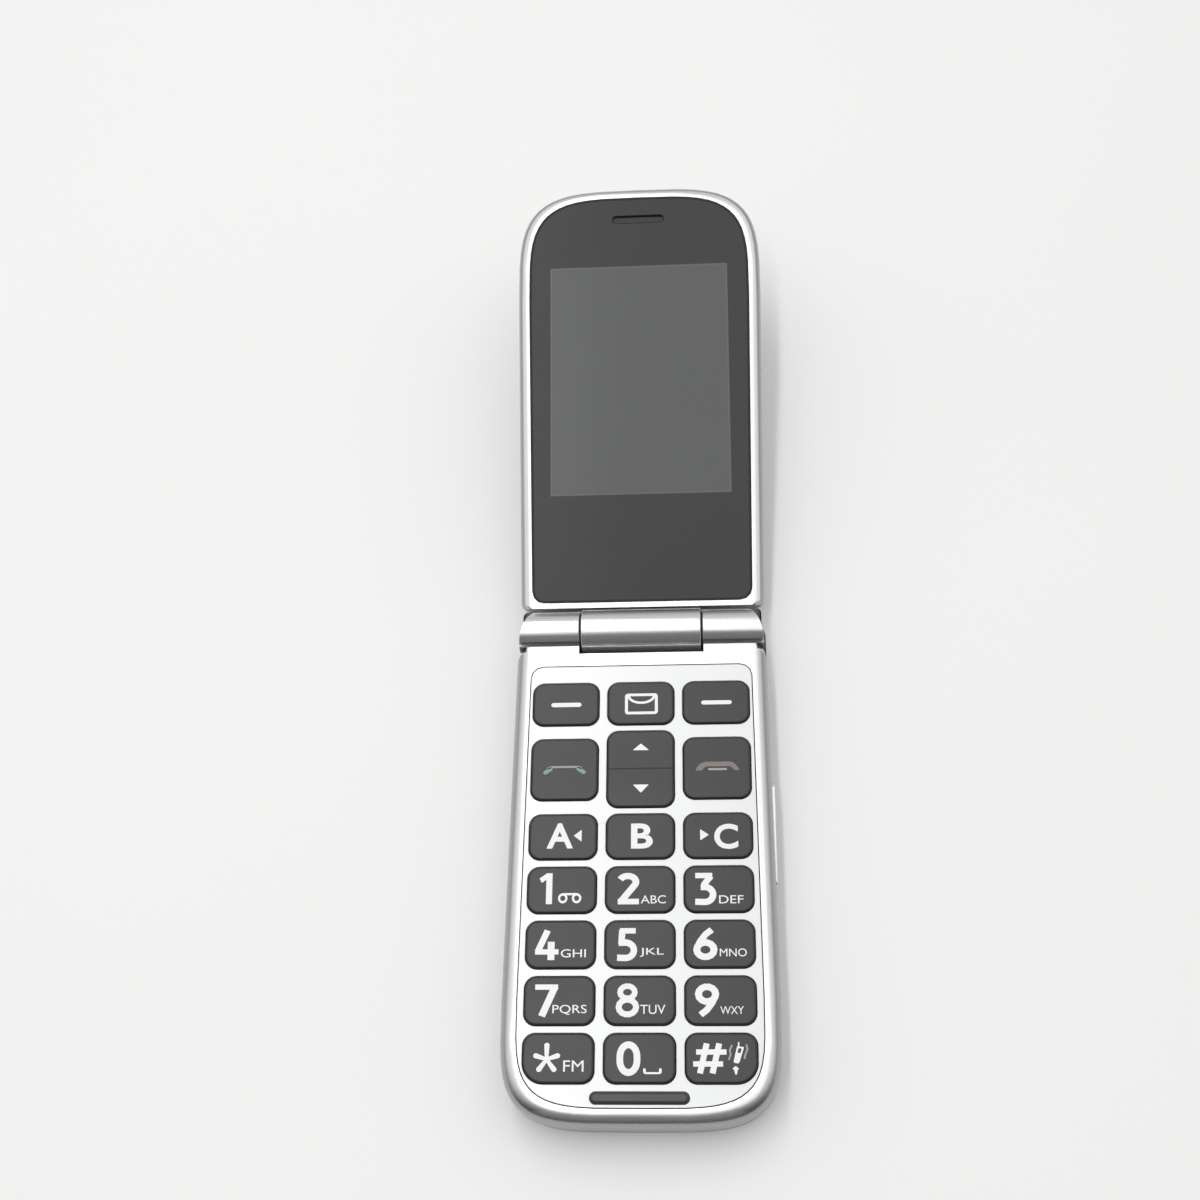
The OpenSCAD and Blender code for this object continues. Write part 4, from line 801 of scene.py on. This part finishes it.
def arc(x, y, wide, high, start, end):          # centre, half axes and angles in degrees
    count = inlay["arcSteps"]
    return [(x + wide * math.cos(math.radians(start + (end - start) * i / count)),
             y + high * math.sin(math.radians(start + (end - start) * i / count)))
            for i in range(count + 1)]


def ring(x, y, wide, high):
    return arc(x, y, wide, high, 0, 360)[:-1]


def disc(x, y, radius):                         # a width of 0 fills a closed line
    return (ring(x, y, radius, radius), 0, True)


def capsule(start, end, width):                 # straight stroke with round ends
    (x0, y0), (x1, y1), r = start, end, width / 2
    angle = math.degrees(math.atan2(y1 - y0, x1 - x0))
    return [(arc(x1, y1, r, r, angle - 90, angle + 90)
             + arc(x0, y0, r, r, angle + 90, angle + 270), 0, True)]


def arm(angle, reach, thin, thick):             # flared arm from the middle of a star
    tip = reach - thick
    points = [(0, -thin)] + arc(tip, 0, thick, thick, -90, 90) + [(0, thin)]
    turn = math.radians(angle)
    return ([(x * math.cos(turn) - y * math.sin(turn), x * math.sin(turn) + y * math.cos(turn))
             for x, y in points], 0, True)


def roundBox(x0, y0, x1, y1, r):
    return (arc(x0 + r, y0 + r, r, r, 180, 270) + arc(x1 - r, y0 + r, r, r, 270, 360)
            + arc(x1 - r, y1 - r, r, r, 0, 90) + arc(x0 + r, y1 - r, r, r, 90, 180))


# strokes of each sign: points, width (0 fills the line) and whether the line is closed
# a sign's sizes are its own, and it is fitted to its box later
figures = {
    "0": [(arc(2.1, 3.35, 1.55, 2.1, 0, 180) + arc(2.1, 2.65, 1.55, 2.1, 180, 360), 1.2, True)],
    "1": [([(2.2, 0), (2.2, 6)], 1.4, False), ([(0.2, 4.55), (1.75, 5.5)], 1.0, False)],
    "2": [(arc(1.9, 4.3, 1.45, 1.15, 155, -30) + [(0.85, 0.75)], 1.2, False),
          ([(0.15, 0.53), (3.9, 0.53)], 1.06, False)],
    "3": [([(0.3, 5.5), (3.3, 5.5)], 1.0, False), ([(3.05, 5.4), (1.75, 3.7)], 1.1, False),
          ([(1.25, 3.35)] + arc(1.95, 1.95, 1.45, 1.4, 80, -90) + [(0.25, 0.62)], 1.15, False)],
    "4": [([(2.3, 6.0), (0.65, 1.9)], 1.15, False), ([(0.1, 1.65), (4.35, 1.65)], 1.05, False),
          ([(3.0, 3.7), (3.0, 0)], 1.25, False)],
    "5": [([(0.75, 5.5), (3.55, 5.5)], 1.0, False), ([(1.15, 5.7), (1.0, 3.1)], 1.15, False),
          ([(0.5, 3.3)] + arc(1.75, 1.95, 1.5, 1.4, 85, -90) + [(0.25, 0.62)], 1.15, False)],
    "6": [(ring(2.1, 1.95, 1.5, 1.38), 1.2, True),
          ([(3.25, 5.75), (2.2, 4.9), (1.2, 3.5), (0.65, 2.2)], 1.15, False)],
    "7": [([(0.2, 5.5), (4.1, 5.5)], 1.0, False), ([(3.6, 5.6), (1.4, 0)], 1.2, False)],
    "8": [(ring(2.1, 4.5, 1.35, 1.15), 1.02, True), (ring(2.1, 1.75, 1.6, 1.38), 1.08, True)],
    "9": [(ring(2.1, 4.05, 1.5, 1.38), 1.2, True),
          ([(0.95, 0.25), (2.0, 1.1), (3.0, 2.5), (3.55, 3.8)], 1.15, False)],
    "star": [arm(90, 3.35, 0.33, 0.52), arm(19, 2.75, 0.33, 0.52), arm(161, 2.75, 0.33, 0.52),
             arm(-54, 3.0, 0.33, 0.52), arm(-126, 3.0, 0.33, 0.52)],
    "hash": [([(1.1, 0), (2.3, 5.4)], 1.0, False), ([(3.2, 0), (4.4, 5.4)], 1.0, False),
             ([(0, 1.7), (5.0, 1.7)], 0.95, False), ([(0.5, 3.85), (5.6, 3.85)], 0.95, False)],
    "bar": capsule((0.5, 0), (5.6, 0), 1.0),
    "space": [([(0, 1.0)] + arc(0.35, 0.35, 0.35, 0.35, 180, 270) + arc(2.75, 0.35, 0.35, 0.35, 270, 360)
               + [(3.1, 1.0)], 0.52, False), disc(0, 1.0, 0.26), disc(3.1, 1.0, 0.26)],
    "voicemail": [(ring(0.8, 0.85, 0.72, 0.72), 0.42, True), (ring(3.5, 0.85, 0.72, 0.72), 0.42, True),
                  ([(0.8, 1.6), (3.5, 1.6)], 0.4, False)],
    "envelope": [(roundBox(0, 0, 6, 4.1, 0.36), 0.60, True),
                 (arc(3.0, 3.9, 2.55, 1.6, 180, 360), 0.52, False)],
    # these are drawn in mm from the key's centre
    "callPads": (capsule((-3.72, -0.66), (-2.74, 0.02), 0.82)
                 + capsule((3.72, -0.62), (2.74, 0.02), 0.82)),
    "callGrip": [([(-3.3, 0.10), (-2.95, 0.36), (-2.5, 0.44),
                   (2.5, 0.44), (2.95, 0.36), (3.3, 0.10)], 0.40, False)],
    "endBand": [([(-4.18, -0.54), (-3.72, 0.26), (-3.25, 0.72), (-2.85, 0.95), (-2.23, 1.15),
                  (2.50, 1.15), (3.10, 0.95), (3.45, 0.72), (3.81, 0.26), (4.35, -0.54),
                  (3.95, -0.64), (3.35, -0.58), (2.85, -0.02), (2.32, 0.20),
                  (-1.96, 0.20), (-2.45, -0.02), (-2.95, -0.58), (-3.65, -0.64)], 0, True)],
    "endRest": capsule((-1.5, -0.38), (1.72, -0.38), 0.42),
    "handset": [([(2.13, -0.62), (2.35, -0.85), (2.95, -0.92),
                  (3.20, -0.75), (3.66, 0.75), (2.52, 0.95)], 0, True),
                ([(2.66, 0.85), (2.95, 1.95), (3.86, 1.82), (3.50, 0.70)], 0.32, True),
                ([(3.08, 1.95), (3.12, 2.85)], 0.26, False),
                ([(2.50, -1.37), (3.08, -1.84), (2.86, -2.10), (2.69, -2.89),
                  (2.41, -2.89), (2.22, -2.10), (1.93, -1.84)], 0, True)],
    "tremor": [([(1.93, 2.33), (1.50, 1.45), (1.65, 0.62), (1.27, -0.32)], 0.34, False),
               ([(4.50, 2.43), (4.69, 1.57), (4.25, 0.62), (4.12, -0.13)], 0.34, False)],
}
triangles = {"up": 90, "fall": 270, "left": 180, "right": 0}         # the way each points, in degrees


def convertToMesh(name):
    bpy.ops.object.convert(target="MESH")
    made = bpy.context.object
    made.name = made.data.name = name
    return made


def drawLine(name, points, closed, **settings):  # a curve through points in three axes, as a mesh
    line = bpy.data.curves.new(name, "CURVE")
    for setting, value in settings.items():
        setattr(line, setting, value)
    spline = line.splines.new("POLY")
    spline.points.add(len(points) - 1)
    for point, spot in zip(spline.points, points):
        point.co = (*spot, 1)
    spline.use_cyclic_u = closed
    holder = bpy.data.objects.new(name, line)
    bpy.context.collection.objects.link(holder)
    only(holder)
    return convertToMesh(name)


def weld(piece, gap):
    only(piece)
    bpy.ops.object.mode_set(mode="EDIT")
    bpy.ops.mesh.select_all(action="SELECT")
    bpy.ops.mesh.remove_doubles(threshold=gap)
    bpy.ops.mesh.normals_make_consistent(inside=False)
    bpy.ops.object.mode_set(mode="OBJECT")


def drawStrokes(name, strokes):
    parts = []
    for points, width, closed in strokes:
        flat = [(x, y, 0) for x, y in points]
        if width:
            part = drawLine(name + "_part", flat, closed, dimensions="3D", extrude=inlay["thick"])
            applyModifier(part, "SOLIDIFY", thickness=width, offset=0, use_even_offset=True)
        else:
            part = drawLine(name + "_part", flat, closed, dimensions="2D", extrude=inlay["thick"],
                            fill_mode="BOTH")
            weld(part, inlay["merge"])
        parts.append(part)
    whole = parts[0]
    for part in parts[1:]:                      # one solid sign, with no faces inside it
        applyModifier(whole, "BOOLEAN", operation="UNION", solver="EXACT", object=part)
        bpy.data.objects.remove(part)
    whole.name = whole.data.name = name
    return whole


def joined(name, parts):
    bpy.ops.object.select_all(action="DESELECT")
    for part in parts:
        part.select_set(True)
    bpy.context.view_layer.objects.active = parts[0]
    if len(parts) > 1:
        bpy.ops.object.join()
    made = bpy.context.object
    made.name = made.data.name = name
    return made


def drawTriangle(name, angle):
    bpy.ops.object.select_all(action="DESELECT")
    bpy.ops.mesh.primitive_cylinder_add(vertices=3, radius=1, depth=1,
                                        rotation=(0, 0, math.radians(angle - 90)))
    bpy.ops.object.transform_apply(location=True, rotation=True, scale=True)
    made = bpy.context.object
    made.name = made.data.name = name
    bpy.ops.object.mode_set(mode="EDIT")
    choose(made, "edges", upright)
    roundEdges(inlay["tipRound"], inlay["tipSteps"])
    bpy.ops.object.mode_set(mode="OBJECT")
    return made


def drawText(name, words, swell):
    bpy.ops.object.select_all(action="DESELECT")
    bpy.ops.object.text_add()
    text = bpy.context.object.data
    text.body, text.offset = words, swell
    text.extrude, text.resolution_u = inlay["thick"], inlay["textSteps"]
    return convertToMesh(name)


def fitTo(piece, box, bottom, top):             # stretches a mesh into a box, in metres
    low = [min(v.co[i] for v in piece.data.vertices) for i in range(3)]
    high = [max(v.co[i] for v in piece.data.vertices) for i in range(3)]
    if not box:                                 # drawn in mm, so its own size is kept
        box = [v * mm for v in (*low[:2], *high[:2])]
    for v in piece.data.vertices:
        for i, (start, end) in enumerate(((box[0], box[2]), (box[1], box[3]), (bottom, top))):
            v.co[i] = start + (v.co[i] - low[i]) / (high[i] - low[i]) * (end - start)


# node: its signs or words, each with a box in mm from the key's centre and the end of its look's name
# a sign with no box keeps its own size
legends = {
    "key_soft_left": [("bar", (-2.93, -0.65, 3.06, 0.24), "white")],
    "key_message": [("envelope", (-3.12, -2.4, 3.37, 1.98), "white")],
    "key_soft_right": [("bar", (-2.9, -0.56, 3.1, 0.28), "white")],
    "key_call": [("callPads", None, "green"), ("callGrip", None, "grey")],
    "key_navigation": [("up", (-1.47, 3.7, 1.56, 5.02), "white"),
                       ("fall", (-1.38, -4.9, 1.53, -3.32), "white")],
    "key_end": [("endBand", None, "red"), ("endRest", None, "rose")],
    "key_a": [("A", (-3.12, -2.35, 1.95, 2.65), "white"), ("left", (2.13, -0.95, 3.58, 1.26), "white")],
    "key_b": [("B", (-1.76, -2.5, 2.39, 2.45), "white")],
    "key_c": [("right", (-3.4, -0.95, -1.82, 1.15), "white"), ("C", (-0.75, -2.73, 3.8, 2.22), "white")],
    "key_1": [("1", (-4.26, -2.75, -1.8, 3.21), "white"),
              ("voicemail", (-0.68, -2.6, 3.75, -0.65), "white")],
    "key_2": [("2", (-4.23, -2.89, -0.15, 3.17), "white"), ("ABC", (0.15, -2.75, 4.85, -1.2), "white")],
    "key_3": [("3", (-4.48, -3.14, -0.5, 3.05), "white"), ("DEF", (0.0, -2.82, 4.55, -1.3), "white")],
    "key_4": [("4", (-4.72, -2.93, -0.34, 2.83), "white"), ("GHI", (0.1, -2.45, 4.77, -0.92), "white")],
    "key_5": [("5", (-4.24, -3.2, -0.5, 3.0), "white"), ("JKL", (0.0, -2.4, 4.45, -0.75), "white")],
    "key_6": [("6", (-4.93, -3.03, -0.42, 3.05), "white"), ("MNO", (-0.02, -2.4, 4.95, -0.92), "white")],
    "key_7": [("7", (-4.49, -3.08, -0.2, 2.95), "white"), ("PQRS", (-1.22, -2.62, 5.1, -0.8), "white")],
    "key_8": [("8", (-4.41, -3.07, -0.08, 3.08), "white"), ("TUV", (0.1, -2.5, 4.71, -0.83), "white")],
    "key_9": [("9", (-4.69, -3.1, -0.25, 3.0), "white"), ("WXY", (-0.1, -2.53, 4.2, -1.13), "white")],
    "key_star": [("star", (-4.5, -2.45, 0.4, 2.75), "white"), ("FM", (1.0, -2.4, 4.7, -0.4), "white")],
    "key_0": [("0", (-4.15, -3.15, 0.17, 3.0), "white"), ("space", (0.68, -2.82, 4.02, -1.8), "white")],
    "key_hash": [("hash", (-5.1, -2.8, 0.9, 2.72), "white"), ("handset", None, "white"),
                 ("tremor", None, "grey")],
}
bold = {"letter": 0.028, "word": 0}             # a letter that stands alone is bolder than a word's


def drawSign(name, sign):
    if sign in figures:
        return drawStrokes(name, figures[sign])
    if sign in triangles:
        return drawTriangle(name, triangles[sign])
    return drawText(name, sign, bold["letter" if len(sign) == 1 else "word"])


def makeLegend(node, marks):
    low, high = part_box(node)
    middle, top = ((low.x + high.x) / 2, (low.y + high.y) / 2), high.z
    parts = {}
    for sign, box, look in marks:
        part = drawSign(f"{node}_{sign}", sign)
        placed = box and [v * mm + middle[i % 2] for i, v in enumerate(box)]
        fitTo(part, placed, top - inlay["deep"] * mm, top + inlay["proud"] * mm)
        if not box:
            shiftMesh(part, (*middle, 0))
        parts.setdefault(look, []).append(part)
    for look, group in parts.items():
        legend = joined(node.replace("key", "legend") + "_" + look, group)
        finishPiece(legend, "legend_" + look, bodyOf[node])


for node, marks in legends.items():
    makeLegend(node, marks)
print("legends:", len(legends))

bumper = {"edge": 0.75, "edgeSteps": 5, "ends": 1.12, "endSteps": 8}
volumeKeyEdge = 0.22


def makeBumper():                               # the soft bar that the lid closes on
    bar = block("bumper_bar", *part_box("rubber_bumper"))
    bpy.ops.object.mode_set(mode="EDIT")
    choose(bar, "edges", upright)
    roundEdges(bumper["ends"] * mm, bumper["endSteps"])
    choose(bar, "faces", facesUp)
    bpy.ops.mesh.region_to_loop()
    roundEdges(bumper["edge"] * mm, bumper["edgeSteps"])
    bpy.ops.object.mode_set(mode="OBJECT")
    finishPiece(bar, "bumper_rubber", "base", ("rubber_bumper",), "round")


makeBumper()
refine("volume_key", volumeKeyEdge)
print("bumper and volume key done")

# camera ring and lens on the lid's back, as turned profiles (radius, height) in mm
turned = {
    "camera_ring": ([(3.22, -0.1), (3.25, 0.10), (3.40, 0.26), (3.65, 0.30), (3.95, 0.24),
                     (4.15, 0.06), (4.2, -0.1)], "volume_silver"),
    "camera_lens_edge": ([(1.62, -0.1), (1.62, 0.08), (1.72, 0.14), (1.92, 0.12), (1.98, -0.1)],
                         "can_steel"),
    "camera_lens": ([(0, 0.16), (0.55, 0.145), (1.0, 0.10), (1.35, 0.03), (1.6, -0.1)], "lens"),
}
rearCamera = {"along": 82.5, "level": -9.7, "sides": 72, "merge": 0.002}


def makeTurned(name, profile, look):
    piece = drawLine(name, [(radius * mm, 0, -height * mm) for radius, height in profile], False,
                     dimensions="3D")
    bpy.ops.object.mode_set(mode="EDIT")
    bpy.ops.mesh.select_all(action="SELECT")
    bpy.ops.mesh.spin(steps=rearCamera["sides"], angle=math.tau, center=(0, 0, 0), axis=(0, 0, 1))
    bpy.ops.object.mode_set(mode="OBJECT")
    weld(piece, rearCamera["merge"] * mm)
    piece.data.transform(Matrix.Translation([v * mm for v in hinge["place"]])
                         @ Matrix.Rotation(math.radians(hinge["slope"]), 4, "X")
                         @ Matrix.Translation((0, rearCamera["along"] * mm, rearCamera["level"] * mm)))
    finishPiece(piece, look, "lid", smooth="turned")


for name, (profile, look) in turned.items():
    makeTurned(name, profile, look)
print("camera ring and lens:", len(turned))

# grip lines across the battery cover, by its finger notch
grip = {"half": 5.5, "line": 0.42, "deep": 0.22, "below": -1.0, "places": (-41.2, -40.3, -39.4)}


def cutGrip(y):
    low = (-grip["half"], y - grip["line"] / 2, grip["below"])
    high = (grip["half"], y + grip["line"] / 2, grip["deep"])
    cutter = block("grip_line", [v * mm for v in low], [v * mm for v in high])
    applyModifier(bpy.data.objects["battery_cover_finish"], "BOOLEAN", operation="DIFFERENCE",
                  solver="EXACT", object=cutter)
    bpy.data.objects.remove(cutter)


for y in grip["places"]:
    cutGrip(y)

# letters on the emergency button, read from below
sosMark = {"half": 1.9, "high": 0.68, "middle": 38.5, "level": 0.3}


def makeSosLetters():
    letters = drawText("legend_sos", "SOS", bold["letter"])
    letters.data.transform(Matrix.Rotation(math.pi, 4, "Y"))
    half, high, middle, level = sosMark.values()
    fitTo(letters, [v * mm for v in (-half, middle - high, half, middle + high)],
          (level - inlay["proud"]) * mm, (level + inlay["deep"]) * mm)
    finishPiece(letters, "legend_white", bodyOf["sos_button"])


makeSosLetters()

# contact strips on the charging socket's tongue
contact = {"count": 5, "pitch": 0.65, "wide": 0.32, "middle": 39.95, "edge": 0.02, "edgeSteps": 2,
           "from": 21.4, "to": 23.6, "low": 6.66, "high": 6.74}


def makeContacts():
    low = (contact["from"], contact["middle"] - contact["wide"] / 2, contact["low"])
    high = (contact["to"], contact["middle"] + contact["wide"] / 2, contact["high"])
    strip = block("contact_model", [v * mm for v in low], [v * mm for v in high])
    applyModifier(strip, "BEVEL", width=contact["edge"] * mm, segments=contact["edgeSteps"])
    for i in range(contact["count"]):
        piece = copyOf(strip, f"socket_contact_{i + 1}")
        shiftMesh(piece, (0, (i - (contact["count"] - 1) / 2) * contact["pitch"] * mm, 0))
        finishPiece(piece, "contact_gold", "base")
    bpy.data.objects.remove(strip)


makeContacts()
print("cover, button and socket details done")
